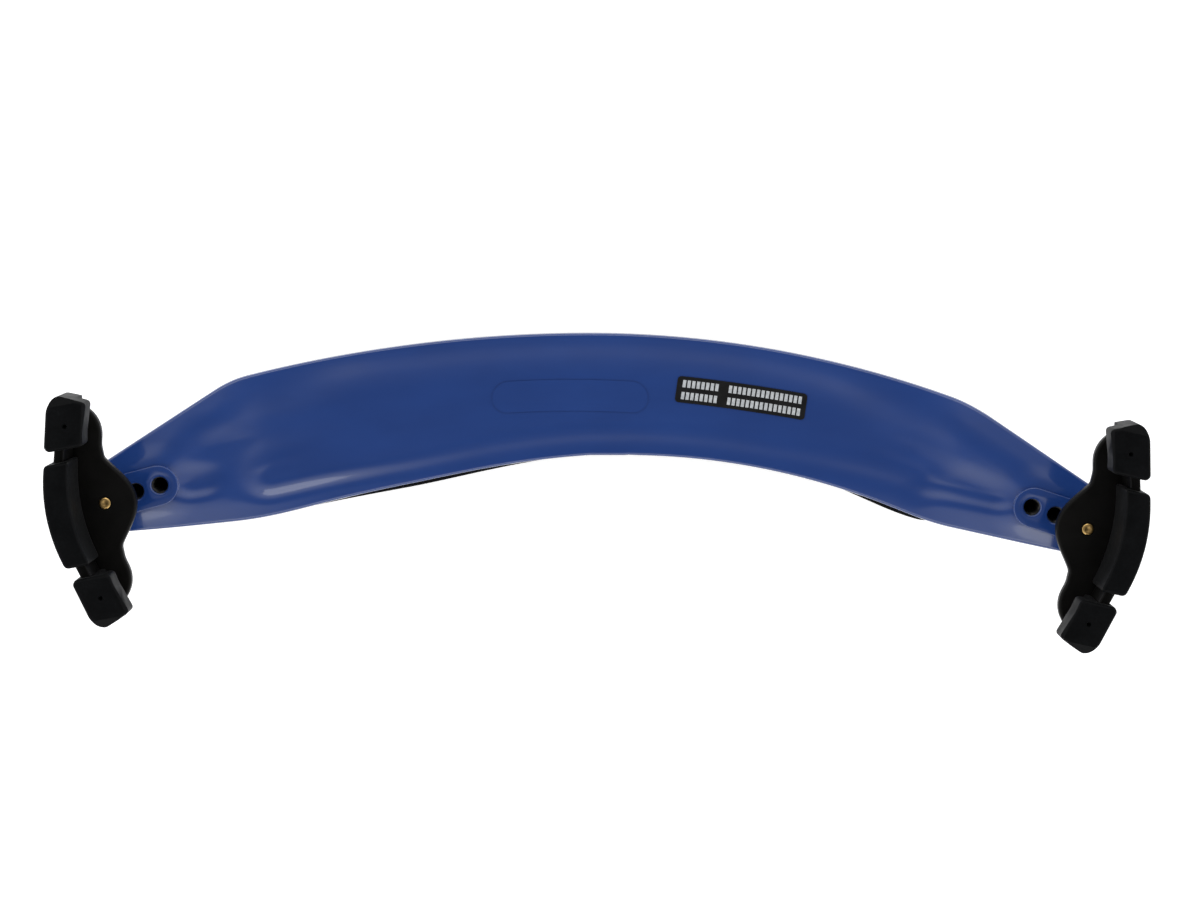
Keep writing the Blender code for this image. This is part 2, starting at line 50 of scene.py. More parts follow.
# ---- the platform, as in the CAD ----
SHELL_THICKNESS = 2.6
RIM_MID_Z, RIM_RISE, RIM_RISE_X, RIM_END_Z, RIM_BLEND = 18.5, 15.0, 120.0, 31.4, 2.0
FLOOR_MID_DEPTH, FLOOR_END_DEPTH, FLOOR_END_X = 1.2, 2.7, 80.0
WALL_WIDTH, FLOOR_CORNER_BLEND = 5.5, 6.0
FLOOR_LEFT_X, FLOOR_RIGHT_X = -89.5, 91.0
APEX_X, APEX_Y = -1.8, 37.2
CONVEX_LEFT_R, CONVEX_RIGHT_R = 369.0, 280.0
LEFT_FLANK = ((-94.7, 24.6), (-121.8, 7.1))
RIGHT_FLANK = ((98.9, 17.5), (123.4, 1.1))
HOLLOW_X, HOLLOW_Y = 8.2, 5.7
CONCAVE_RIGHT_R, CONCAVE_LEFT_R, CONCAVE_LEFT_CENTRE = 187.0, 500.0, (45.2, -492.7)
LEFT_HEEL = ((-87.7, -10.0), (-117.8, -12.5))
RIGHT_HEEL = ((89.4, -11.6), (116.9, -17.2))
CORNER_BLEND = 1.6
# the round end of each tip: where its columns start to fan out along X, its centre and its angles
LEFT_NOSE = (-95.5, (-121.8, -3.6), (274.8, 122.9))
RIGHT_NOSE = (100.0, (122.4, -9.2), (-101.5, 56.2))
NOSE_R = 8.9
LEFT_HOLES = ((-110.1, -0.3), (-116.2, -1.9), (-121.8, -3.4))
RIGHT_HOLES = ((110.5, -5.9), (116.5, -7.9), (122.5, -9.9))
HOLE_NAMES = ("inner", "middle", "outer")
BOSS_TOP_Z, BOSS_BOTTOM_Z = 33.5, 25.5
SOCKET_BOTTOM_Z, SOCKET_HALF_WIDTH = 15.2, 4.3
HOLE_R, HOLE_CHAMFER = 2.15, 0.3
BUSH_R, BUSH_TOP_Z, BUSH_BOTTOM_Z, BUSH_FLOOR, BUSH_GAP = 2.5, 32.5, 15.5, 0.8, 0.2

# ---- the moulding's finer shape ----
RIM_TOP_R, RIM_UNDER_R = 0.7, 0.7  # rounding of the rim's edges
BAND_WIDTH = 4.4  # between the rim's edge and the middle of the tray's wall
LOW_LEFT_GROWTH, LOW_RIGHT_GROWTH = 1.4, 2.6  # how much wider the concave side's band gets toward the ends
HIGH_LEFT_GROWTH, HIGH_RIGHT_GROWTH = -0.8, 1.9  # the same for the convex side's
BAND_GROWTH_X = (40.0, 85.0)
TRAY_LEFT_X, TRAY_RIGHT_X, TRAY_CORNER_R = -90.8, 90.8, 9.0
# how these vary along X: the recess's depth, and the plan width of its walls, where they face +Y close to
# the concave edge, and everywhere else
RECESS_DEPTH = ((-98.0, 1.2), (-84.0, 2.2), (-50.0, 1.3), (50.0, 1.3), (82.0, 1.6), (98.0, 1.1))
STEEP_WALL = ((-98.0, 2.6), (-88.0, 3.5), (-62.0, 3.3), (-25.0, 4.8), (80.0, 5.5), (88.0, 3.0), (98.0, 2.7))
GENTLE_WALL = ((-98.0, 6.5), (-91.0, 12.0), (-82.0, 12.0), (-60.0, 7.5),
               (60.0, 7.5), (82.0, 12.0), (98.0, 8.0))
STEEP_REACH = (11.0, 14.0)  # how far from the concave edge a wall can be a steep one
FACING_STEP = 1.5  # the change from steep to gentle is spread over this
WALL_BLEND = 0.4  # how rounded the top and foot of a wall are
# bowls between each boss and the tray, each as a rounded slot: two ends and a radius
BOWLS = (((-102.4, 1.4), (-99.8, 1.9), 4.7),
         ((-98.5, 8.6), (-85.0, 11.5), 4.0),
         ((85.0, 1.0), (102.0, -2.4), 3.9))
BOWL_BLEND, BOWL_REACH_X = 3.0, 40.0  # a bowl is left out further along X than this
FLANGE_REACH, FLANGE_BLEND = 7.0, 3.0  # the band falls outward to the rim over this width
# how steeply it falls: in the middle, and near the ends on the convex (high) and the concave (low) side
FLANGE_MID_SLOPE, FLANGE_HIGH_SLOPE, FLANGE_LOW_SLOPE = 0.05, 0.26, 0.19
FLANGE_END_X, FLANGE_SIDE_BLEND = (60.0, 102.0), 12.0
BOSS_HALF_WIDTH, BOSS_EDGE_R = 5.1, 0.25
BOSS_INNER_TRIM = 0.5  # the boss's inner end is this much nearer its hole
FLARE_RISE, FLARE_REACH, FLARE_POWER = 0.55, 6.0, 1.6  # skirt that sweeps up to a boss
FLARE_TOP_Z, FLARE_BLEND = 33.05, 0.5
RING_R, RING_DEPTH, RING_TAPER = 3.0, 0.07, 0.15  # shallow ring round each hole
SOCKET_DRAFT, SOCKET_OVERLAP, SOCKET_EDGE_R = 0.5, 2.0, 0.6
SKIN = 1.6  # least wall under a bowl
PANEL_CENTRE, PANEL_LENGTH, PANEL_WIDTH, PANEL_RISE = (-6.5, 21.2), 40.0, 8.0, 0.25
PANEL_PINCH, PANEL_ROOT = 0.98, 1.0  # below 1 so that its ends keep some width; depth into the floor
SHELL_GRID, PANEL_GRID = (380, 72), (64, 6)

# ---- posts and bushes ----
THREAD_R, THREAD_DEPTH, THREAD_PITCH, THREAD_STEPS = 1.75, 0.30, 0.6, 6  # steps per pitch
THREAD_GAIN, THREAD_FLAT = 1.35, 0.15  # steepness of a thread's flanks, and how flat its root is
POST_BOTTOM_Z, POST_LEAD, POST_CHAMFER, POST_CORE_R = 22.0, 0.5, 0.15, 0.3
SHOULDER_GAP = 0.3  # between the collar and the post's shoulder
PLAIN_LENGTH, RUNOUT, THREAD_TOP = 1.2, 1.5, 1.6  # all measured down from the shoulder
SPIGOT_R, SPIGOT_TAPER, SPIGOT_SEAT, RIVET_RISE = 1.42, 0.04, 0.2, 0.18
# the peened end of a post: radii, and how far each is below the top
RIVET_FORM = ((0.35, 0.14), (0.62, 0.05), (0.95, 0.0), (1.25, 0.05), (SPIGOT_R, 0.16))
BUSH_THREAD_R, BUSH_EDGE, BUSH_CORE_R = 1.84, 0.3, 0.4
BUSH_LIP, BUSH_LEAD_IN = 0.25, 0.35
ROUND = 40  # sides of a turned piece
TURNS = [2 * pi * i / ROUND for i in range(ROUND)]

# ---- forks: u outward, v along the wall, w up from the plate's top ----
PLATE_TOP_Z, PLATE_THICKNESS, COLLAR_R, COLLAR_DROP = 45.5, 3.2, 4.5, 6.2
LEFT_FORK_YAW, RIGHT_FORK_YAW = 190.66, -12.7
WAIST_U, WAIST_V, LOBE_RISE, LOBE_POWER, WAIST_BLEND = -1.9, 11.4, 5.9, 1.15, 0.7
END_LOBE_U, END_LOBE_V, END_LOBE_R, PLATE_END_V = 5.3, 18.5, 8.0, 26.4
WALL_U, WALL_R, WALL_STRAIGHT_V = 8.75, 42.0, 12.0
UPRIGHT_THICKNESS, UPRIGHT_HEIGHT, UPRIGHT_END_V, UPRIGHT_EDGE_R = 2.6, 11.4, 25.4, 0.5
PLATE_MARGIN, PLATE_EDGE_R = 2.6, 0.8
PLATE_ROOT = -1.5  # the upright and the collar start at this height in the plate
COLLAR_CHAMFER, BORE_R, BORE_CHAMFER = 0.5, 1.5, 0.15
PAD_INNER_U, PAD_OUTER_U, PAD_INNER_R, PAD_END_V = 5.6, 11.9, 46.0, 12.9
BOOT_TOP, BOOT_GAP, BOOT_EDGE_R, BOOT_CORNER_R = 14.5, 0.3, 0.8, 1.1
BOOT_FIT, BOOT_FLOOR = 0.25, -1.0  # room round the upright wall; where the hollow starts
CLAW_OUTLINE = ((9.0, 17.0), (8.2, 15.9), (-0.4, 15.9), (-0.9, 18.8), (-3.3, 26.1),
                (0.2, 27.7), (3.4, 29.0), (4.9, 28.4), (6.6, 26.2))
# planes that cut a claw's far end and its lip's edge: a point on its top, and the way out
CLAW_CUTS = (((2.0, 26.6), (0.0, 0.62, 0.78)), ((-0.9, 20.0), (-0.80, -0.20, 0.60)))
# the room under a claw's lip: its heights, and how far it reaches along u and v
CLAW_LIP_BASE, CLAW_LIP_CLEARANCE, CLAW_LIP_U, CLAW_LIP_V = -2.0, 7.0, (-13.0, 4.0), (13.0, 30.0)
CLAW_DIMPLE = (2.8, 21.4)
DIMPLE_FORM = ((0.65, 1.0), (0.62, 0.0), (0.5, -0.2), (0.4, -1.6))  # radii, heights over the claw's top

# ---- foam and label ----
FOAM_LEFT_X, FOAM_RIGHT_X, FOAM_INSET = -84.8, 91.2, 1.3
FOAM_HIDDEN, FOAM_SHOWN = 0.2, 1.35  # inside the concave edge, and how much further out where it shows
FOAM_SHOWS = ((-43.0, 50.0), (76.0, 20.0))  # middle and half length of each stretch that shows
FOAM_FLAT_X, FOAM_END_LIFT, FOAM_END_POWER = 42.0, 12.8, 1.7
FOAM_END_R, FOAM_END_PINCH = 9.0, 0.75
FOAM_EDGE_R, FOAM_TOP_R, FOAM_TOP_GAP = 2.2, 0.3, 0.15
FOAM_GRID = (200, 44)
CUT_HEIGHT, CUT_SCALE, CUT_SLICE = 0.12, 0.55, 5.0  # unevenness of the foam's cut underside
SHEET_THICKNESS, SHEET_GAP, SHEET_SLACK, SHEET_MARGIN = 0.4, 0.3, 0.25, 2.5
LABEL_CENTRE, LABEL_LENGTH, LABEL_WIDTH, LABEL_BOW_R = (37.5, 20.9), 33.5, 6.8, 500.0
LABEL_CORNER_R, LABEL_PINCH, LABEL_TILT = 1.0, 0.95, -7.8
LABEL_GAP, LABEL_THICKNESS, LABEL_GRID = 0.06, 0.12, (80, 10)
BAR_HEIGHT, BAR_WIDTH, BAR_RISE, BAR_PITCH, BAR_ROW = 1.9, 0.82, 0.03, 1.2, 1.55
BAR_GROUPS = ((-15.3, 8), (-3.4, 16))  # where each group starts along the label, and how many bars it has


def at(x, y, z):
    """A drawing point in millimetres, as a frame point in metres."""
    return Vector(((x + SHIFT_X) * MM, (y + SHIFT_Y) * MM, z * MM))


# ---- formulas shared with the CAD ----

def smooth_min(a, b, blend):
    h = max(blend - abs(a - b), 0.0) / blend
    return min(a, b) - h * h * blend / 4


def smooth_max(a, b, blend):
    return -smooth_min(-a, -b, blend)


def arc_drop(dx, radius):
    return radius - sqrt(max(radius * radius - dx * dx, 0.0))


def line_y(line, x):
    (x0, y0), (x1, y1) = line
    return y0 + (y1 - y0) * (x - x0) / (x1 - x0)


def convex_edge(x):
    radius = CONVEX_LEFT_R if x < APEX_X else CONVEX_RIGHT_R
    y = APEX_Y - arc_drop(x - APEX_X, radius)
    y = smooth_min(y, line_y(LEFT_FLANK, x), CORNER_BLEND)
    return smooth_min(y, line_y(RIGHT_FLANK, x), CORNER_BLEND)


def concave_edge(x):
    arc = HOLLOW_Y - arc_drop(x - HOLLOW_X, CONCAVE_RIGHT_R)
    if x > HOLLOW_X:
        return smooth_max(arc, line_y(RIGHT_HEEL, x), CORNER_BLEND)
    centre_x, centre_y = CONCAVE_LEFT_CENTRE
    flat_arc = centre_y + sqrt(CONCAVE_LEFT_R ** 2 - (x - centre_x) ** 2)
    arc = min(smooth_max(arc, flat_arc, CORNER_BLEND), HOLLOW_Y)
    return smooth_max(arc, line_y(LEFT_HEEL, x), CORNER_BLEND)


def smooth_step(t):
    t = min(max(t, 0.0), 1.0)
    return t * t * (3 - 2 * t)


def rim_height(x):
    arch = RIM_MID_Z + RIM_RISE * (x / RIM_RISE_X) ** 2
    return smooth_min(arch, RIM_END_Z, RIM_BLEND)


def cad_top(x, y):
    """The CAD's upper surface of the shell."""
    depth = FLOOR_MID_DEPTH + (FLOOR_END_DEPTH - FLOOR_MID_DEPTH) * smooth_step(abs(x) / FLOOR_END_X)
    to_edge = min(convex_edge(x) - y, y - concave_edge(x))
    to_end = min(x - FLOOR_LEFT_X, FLOOR_RIGHT_X - x)
    inside = smooth_min(to_edge, to_end, FLOOR_CORNER_BLEND)
    return rim_height(x) - depth * smooth_step(inside / WALL_WIDTH)


def under_height(x, y):
    """Underside of the shell, which its foam and adhesive lie against."""
    step = 0.2
    slope_x = (cad_top(x + step, y) - cad_top(x - step, y)) / (2 * step)
    slope_y = (cad_top(x, y + step) - cad_top(x, y - step)) / (2 * step)
    return cad_top(x, y) - SHELL_THICKNESS * sqrt(1 + slope_x ** 2 + slope_y ** 2)


# ---- the moulding's finer shape ----

def wall_ramp(t):
    """0 to 1, straight in the middle and rounded at both ends."""
    return smooth_min(smooth_max(t, 0.0, WALL_BLEND), 1.0, WALL_BLEND)


def crowded(t, amount=1.0):
    """0 to 1 with its stations closer together at both ends."""
    return (1 - amount) * t + amount * (1 - cos(pi * t)) / 2


def slope_cos(edge, x):
    """What turns a distance to an edge along Y into one square to the edge."""
    step = 0.5
    slope = (edge(x + step) - edge(x - step)) / (2 * step)
    return 1 / sqrt(1 + slope * slope)


def side_distances(x, y):
    """Distances inside the convex and the concave edge."""
    high = (convex_edge(x) - y) * slope_cos(convex_edge, x)
    low = (y - concave_edge(x)) * slope_cos(concave_edge, x)
    return high, low


def edge_distance(x, y):
    """Distance of a plan point inside the platform's outline."""
    for _, centre, angles in (LEFT_NOSE, RIGHT_NOSE):
        away = Vector((x - centre[0], y - centre[1]))
        middle = radians((angles[0] + angles[1]) / 2)
        half = radians(abs(angles[0] - angles[1]) / 2)
        if away.length > 0 and away.dot(Vector((cos(middle), sin(middle)))) > away.length * cos(half):
            return NOSE_R - away.length
    return min(side_distances(x, y))


def along_x(x, stations):
    """A value that goes smoothly from each (x, value) station to the next."""
    value = stations[0][1]
    for (start, low), (end, high) in zip(stations, stations[1:]):
        value += (high - low) * smooth_step((x - start) / (end - start))
    return value


def slot_distance(x, y, start, end):
    """Distance from a plan point to a straight line between two others."""
    start, end, point = Vector(start), Vector(end), Vector((x, y))
    way = end - start
    share = min(max((point - start).dot(way) / way.length_squared, 0.0), 1.0)
    return (point - start - way * share).length


def rounded_corner(a, b, radius):
    """Distance inside two edges whose corner is rounded."""
    if a >= radius or b >= radius:
        return min(a, b)
    return radius - sqrt((radius - a) ** 2 + (radius - b) ** 2)


def recess_inside(x, y):
    """Distance inside the outline of the tray and its bowls, halfway up their walls."""
    high, low = side_distances(x, y)
    start, end = BAND_GROWTH_X
    growth = smooth_step((abs(x) - start) / (end - start))
    high -= BAND_WIDTH + (HIGH_LEFT_GROWTH if x < 0 else HIGH_RIGHT_GROWTH) * growth
    low -= BAND_WIDTH + (LOW_LEFT_GROWTH if x < 0 else LOW_RIGHT_GROWTH) * growth
    to_end = min(x - TRAY_LEFT_X, TRAY_RIGHT_X - x)
    inside = min(rounded_corner(high, to_end, TRAY_CORNER_R), rounded_corner(low, to_end, TRAY_CORNER_R))
    for start, end, radius in BOWLS:
        if abs(x - start[0]) < BOWL_REACH_X:
            inside = smooth_max(inside, radius - slot_distance(x, y, start, end), BOWL_BLEND)
    return inside


def recess_share(x, y):
    """0 on the band and the tips, 1 on the floor of the tray and of the bowls."""
    rise = recess_inside(x, y + FACING_STEP) - recess_inside(x, y - FACING_STEP)
    near, far = STEEP_REACH
    facing = smooth_step(rise / (2 * FACING_STEP))
    facing *= smooth_step((far - side_distances(x, y)[1]) / (far - near))
    gentle = along_x(x, GENTLE_WALL)
    width = gentle + (along_x(x, STEEP_WALL) - gentle) * facing
    return wall_ramp(0.5 + recess_inside(x, y) / width)


def boss_distance(x, y):
    """Distance outside the edge of the nearer boss's flat top."""
    holes = LEFT_HOLES if x < 0 else RIGHT_HOLES
    inner, outer = Vector(holes[0]), Vector(holes[-1])
    inner += (outer - inner).normalized() * BOSS_INNER_TRIM
    return slot_distance(x, y, inner, outer) - BOSS_HALF_WIDTH


def plain_top(x, y, edge):
    """The moulded upper surface at a plan point, before its bosses and the rounding of its rim."""
    start, end = FLANGE_END_X
    high, low = side_distances(x, y)
    high_share = smooth_step(0.5 + (low - high) / FLANGE_SIDE_BLEND)
    end_slope = FLANGE_LOW_SLOPE + (FLANGE_HIGH_SLOPE - FLANGE_LOW_SLOPE) * high_share
    end_share = smooth_step((abs(x) - start) / (end - start))
    slope = FLANGE_MID_SLOPE + (end_slope - FLANGE_MID_SLOPE) * end_share
    recess = recess_share(x, y)
    away = min(max(boss_distance(x, y), 0.0), FLARE_REACH)
    flare = FLARE_RISE * (1 - away / FLARE_REACH) ** FLARE_POWER
    z = rim_height(x) + slope * smooth_min(edge, FLANGE_REACH, FLANGE_BLEND) + flare * (1 - recess)
    return smooth_min(z, FLARE_TOP_Z, FLARE_BLEND) - along_x(x, RECESS_DEPTH) * recess


def edge_roll(edge, radius):
    """How far a rounded edge or corner has drawn back at a distance inside it."""
    return arc_drop(radius - min(max(edge, 0.0), radius), radius)


def floor_top(x, y):
    """The upper surface without its rounded rim."""
    return plain_top(x, y, edge_distance(x, y))


def shell_top(x, y):
    edge = edge_distance(x, y)
    return plain_top(x, y, edge) - edge_roll(edge, RIM_TOP_R)


def shell_under(x, y):
    z = min(under_height(x, y), floor_top(x, y) - SKIN)
    return z + edge_roll(edge_distance(x, y), RIM_UNDER_R)


def straight_column(x, across):
    share = crowded(across)
    return Vector((x, concave_edge(x) * (1 - share) + convex_edge(x) * share))


def nose_column(centre, angles, across):
    angle = radians(angles[0] + (angles[1] - angles[0]) * across)
    return Vector(centre) + NOSE_R * Vector((cos(angle), sin(angle)))


def shell_plan(along, across):
    """Plan point for along and across in 0..1, closer together near the tips and the edges."""
    left_x, right_x = LEFT_NOSE[1][0], RIGHT_NOSE[1][0]
    x = left_x + (right_x - left_x) * crowded(along, 0.75)
    for start, centre, angles in (LEFT_NOSE, RIGHT_NOSE):
        part = (x - start) / (centre[0] - start)
        if part > 0:
            part = sin(part * pi / 2)
            return straight_column(start, across).lerp(nose_column(centre, angles, across), part)
    return straight_column(x, across)


# ---- mesh helpers ----

def new_object(name, mesh):
    obj = bpy.data.objects.new(name, mesh)
    bpy.context.scene.collection.objects.link(obj)
    return obj


def mesh_object(name, verts, faces):
    mesh = bpy.data.meshes.new(name)
    mesh.from_pydata(verts, [], faces)
    mesh.update()
    return new_object(name, mesh)


def bmesh_object(name, bm):
    """An object that holds a bmesh, which is freed."""
    mesh = bpy.data.meshes.new(name)
    bm.to_mesh(mesh)
    bm.free()
    return new_object(name, mesh)


def evaluated_mesh(obj):
    """What a curve or an object with modifiers comes to."""
    bpy.context.view_layer.update()
    return bpy.data.meshes.new_from_object(obj.evaluated_get(bpy.context.evaluated_depsgraph_get()))


def smooth_by_angle(obj, angle):
    obj.data.shade_smooth()
    obj.data.set_sharp_from_angle(angle=radians(angle))


def grid_ring(columns, rows):
    """Indices of a grid's border, anticlockwise seen from above."""
    def index(i, j):
        return i * (rows + 1) + j

    ring = [index(i, 0) for i in range(columns)]
    ring += [index(columns, j) for j in range(rows)]
    ring += [index(i, rows) for i in range(columns, 0, -1)]
    ring += [index(0, j) for j in range(rows, 0, -1)]
    return ring


def slab(name, columns, rows, plan, top, bottom, levels=1, bulge=0.0):
    """A closed solid between two heights over one plan, with its side in several levels."""
    points = [plan(i / columns, j / rows) for i in range(columns + 1) for j in range(rows + 1)]
    verts = [at(p[0], p[1], top(p[0], p[1])) for p in points]
    count = len(verts)
    verts += [at(p[0], p[1], bottom(p[0], p[1])) for p in points]
    faces = []
    for i in range(columns):
        for j in range(rows):
            a = i * (rows + 1) + j
            b = a + rows + 1
            faces.append((a, b, b + 1, a + 1))
            faces.append((a + count, a + 1 + count, b + 1 + count, b + count))
    ring = grid_ring(columns, rows)
    rings = [ring]
    for level in range(1, levels):
        share = level / levels
        start = len(verts)
        for i, index in enumerate(ring):
            before, after = verts[ring[i - 1]], verts[ring[(i + 1) % len(ring)]]
            way = after - before
            outward = Vector((way.y, -way.x, 0)).normalized()
            point = verts[index].lerp(verts[index + count], share)
            verts.append(point + outward * (bulge * MM * sin(pi * share)))
        rings.append(list(range(start, start + len(ring))))
    rings.append([index + count for index in ring])
    for upper, lower in zip(rings, rings[1:]):
        for i in range(len(upper)):
            n = (i + 1) % len(upper)
            faces.append((upper[i], lower[i], lower[n], upper[n]))
    return mesh_object(name, verts, faces)


def ring_solid(name, rings):
    """Rings of points stacked into a solid, with one flat face over each end."""
    sides = len(rings[0])
    verts = [point for ring in rings for point in ring]
    faces = []
    for start in range(0, len(verts) - sides, sides):
        for i in range(sides):
            n = (i + 1) % sides
            faces.append((start + i, start + sides + i, start + sides + n, start + n))
    faces.append(tuple(range(sides)))
    faces.append(tuple(reversed(range(len(verts) - sides, len(verts)))))
    return mesh_object(name, verts, faces)


def circle(centre, radius, z):
    """A level ring of points. Its radius is a number or a function of the angle."""
    points = []
    for angle in TURNS:
        r = radius(angle) if callable(radius) else radius
        points.append(at(centre[0] + r * cos(angle), centre[1] + r * sin(angle), z))
    return points


def turned(name, centre, profile):
    """A turned solid about a vertical axis, from radii and heights."""
    return ring_solid(name, [circle(centre, radius, z) for radius, z in profile])


def filleted(points, radius, steps=5):
    """A closed outline with each corner rounded by a small arc-like curve."""
    most = 0.45  # share of a side that one corner can take
    result = []
    count = len(points)
    for i in range(count):
        corner = Vector(points[i])
        back = Vector(points[i - 1]) - corner
        ahead = Vector(points[(i + 1) % count]) - corner
        reach = min(radius, back.length * most, ahead.length * most)
        start = corner + back.normalized() * reach
        end = corner + ahead.normalized() * reach
        for step in range(steps + 1):
            t = step / steps
            result.append(start * (1 - t) ** 2 + corner * 2 * t * (1 - t) + end * t * t)
    return result


def rounded_prism(name, outline, low, high, edge_r=0.0, steps=3):
    """A flat outline extruded along Z with its upper and lower edges rounded, in local metres."""
    curve = bpy.data.curves.new(name, "CURVE")
    curve.dimensions = "2D"
    curve.fill_mode = "BOTH"
    curve.extrude = ((high - low) / 2 - edge_r) * MM
    curve.bevel_depth = edge_r * MM
    curve.bevel_resolution = steps
    curve.offset = -edge_r * MM
    spline = curve.splines.new("POLY")
    spline.points.add(len(outline) - 1)
    for point, (x, y) in zip(spline.points, outline):
        point.co = (x * MM, y * MM, 0.0, 1.0)
    spline.use_cyclic_u = True
    guide = new_object(name + "_guide", curve)
    mesh = evaluated_mesh(guide)
    bpy.data.objects.remove(guide, do_unlink=True)
    bm = bmesh.new()
    bm.from_mesh(mesh)
    bpy.data.meshes.remove(mesh)
    bmesh.ops.remove_doubles(bm, verts=bm.verts, dist=WELD)
    bmesh.ops.recalc_face_normals(bm, faces=bm.faces)
    if bm.calc_volume(signed=True) < 0:
        bmesh.ops.reverse_faces(bm, faces=bm.faces)
    bmesh.ops.translate(bm, verts=bm.verts, vec=(0, 0, (high + low) / 2 * MM))
    return bmesh_object(name, bm)


def combine(obj, other, operation):
    """Apply one exact Boolean and drop the helper."""
    modifier = obj.modifiers.new(operation, "BOOLEAN")
    modifier.object = other
    modifier.operation = operation
    modifier.solver = "EXACT"
    mesh = evaluated_mesh(obj)
    spent = (obj.data, other.data)
    obj.modifiers.clear()
    obj.data = mesh
    bpy.data.objects.remove(other, do_unlink=True)
    for old in spent:
        bpy.data.meshes.remove(old)


def placed_copy(source, name, matrix):
    """A copy of a local mesh carried into the frame. A mirrored copy has its faces turned back out."""
    mesh = source.data.copy()
    mesh.transform(matrix)
    if matrix.determinant() < 0:
        mesh.flip_normals()
    mesh.name = name
    return new_object(name, mesh)


# ---- material helpers ----

def set_stops(node, stops):
    """Fill a colour ramp from (position, colour or grey) pairs."""
    elements = node.color_ramp.elements
    while len(elements) < len(stops):
        elements.new(0.5)
    for element, (position, colour) in zip(elements, stops):
        element.position = position
        colour = colour if isinstance(colour, tuple) else (colour, colour, colour)
        element.color = (*colour, 1.0)


class Look:
    """A material with a Principled shader, and short calls for the nodes that feed it."""

    def __init__(self, name, roughness, metallic=0.0, specular=0.5):
        self.material = bpy.data.materials.new(name)
        self.material.use_nodes = True
        self.nodes = self.material.node_tree.nodes
        self.links = self.material.node_tree.links
        self.shader = self.nodes["Principled BSDF"]
        self.feed("Roughness", roughness)
        self.feed("Metallic", metallic)
        self.feed("Specular IOR Level", specular)
        self.place = self.nodes.new("ShaderNodeTexCoord").outputs["Object"]

    def set(self, socket, value):
        """Give a socket a number, a colour or another node's output."""
        if isinstance(value, tuple):
            socket.default_value = (*value, 1.0)
        elif isinstance(value, float):
            socket.default_value = value
        else:
            self.links.new(value, socket)

    def feed(self, socket, value):
        self.set(self.shader.inputs[socket], value)

    def noise(self, scale, detail=4.0, rough=0.55, stretch=None):
        node = self.nodes.new("ShaderNodeTexNoise")
        for socket, value in (("Scale", scale), ("Detail", detail), ("Roughness", rough)):
            node.inputs[socket].default_value = value
        place = self.place
        if stretch:
            mapping = self.nodes.new("ShaderNodeMapping")
            mapping.inputs["Scale"].default_value = stretch
            self.links.new(place, mapping.inputs["Vector"])
            place = mapping.outputs["Vector"]
        self.links.new(place, node.inputs["Vector"])
        return node.outputs["Fac"]

    def cells(self, scale):
        node = self.nodes.new("ShaderNodeTexVoronoi")
        node.inputs["Scale"].default_value = scale
        self.links.new(self.place, node.inputs["Vector"])
        return node.outputs["Distance"]

    def ramp(self, value, stops):
        node = self.nodes.new("ShaderNodeValToRGB")
        set_stops(node, stops)
        self.links.new(value, node.inputs["Fac"])
        return node.outputs["Color"]

    def tint(self, value, *stops):
        self.feed("Base Color", self.ramp(value, stops))

    def dull(self, value, *stops):
        self.feed("Roughness", self.ramp(value, stops))

    def product(self, a, b):
        node = self.nodes.new("ShaderNodeMath")
        node.operation = "MULTIPLY"
        self.set(node.inputs[0], a)
        self.set(node.inputs[1], b)
        return node.outputs["Value"]

    def mixed(self, share, a, b):
        node = self.nodes.new("ShaderNodeMix")
        node.data_type = "RGBA"
        self.set(node.inputs[0], share)
        self.set(node.inputs[6], a)  # a Mix node's colours are its sockets 6 and 7
        self.set(node.inputs[7], b)
        return node.outputs[2]

    def bump(self, height, strength, distance, below=None):
        node = self.nodes.new("ShaderNodeBump")
        node.inputs["Strength"].default_value = strength
        node.inputs["Distance"].default_value = distance * MM
        self.links.new(height, node.inputs["Height"])
        if below is not None:
            self.links.new(below, node.inputs["Normal"])
        return node.outputs["Normal"]


def blue_plastic():
    """Glossy injection-moulded ABS: deep blue, faint flow mottling, orange peel and hairline scratches."""
    look = Look("blue_gloss_plastic", 0.2)
    cloud = look.noise(38.0, 3.0, 0.5, (1.0, 2.2, 2.2))
    fine = look.noise(900.0, 2.0)
    deep, pale = (0.0116, 0.0408, 0.181), (0.0139, 0.0482, 0.209)
    look.tint(cloud, (0.30, deep), (0.72, pale))
    scratches = look.noise(240.0, 5.0, 0.7, (0.12, 3.0, 3.0))
    look.dull(scratches, (0.35, 0.15), (0.62, 0.19), (0.80, 0.30))
    peel = look.bump(look.noise(260.0, 2.0, 0.45), 0.10, 0.10)
    look.feed("Normal", look.bump(fine, 0.05, 0.02, peel))
    look.feed("Coat Weight", 0.5)
    look.feed("Coat Roughness", 0.06)
    return look.material


def fork_plastic():
    """Black glass-filled nylon: a fine spark-eroded grain, with a warm cast and soft sheen."""
    look = Look("black_fork_plastic", 0.45, specular=0.1)
    cloud = look.noise(120.0, 4.0)
    dark, pale = (0.0016, 0.0015, 0.0013), (0.0034, 0.0031, 0.0027)
    look.tint(cloud, (0.3, dark), (0.75, pale))
    look.dull(look.noise(300.0, 3.0), (0.3, 0.38), (0.7, 0.52))
    grain = look.bump(look.cells(4200.0), 0.22, 0.03)
    look.feed("Normal", look.bump(look.noise(900.0, 4.0, 0.6), 0.25, 0.03, grain))
    return look.material


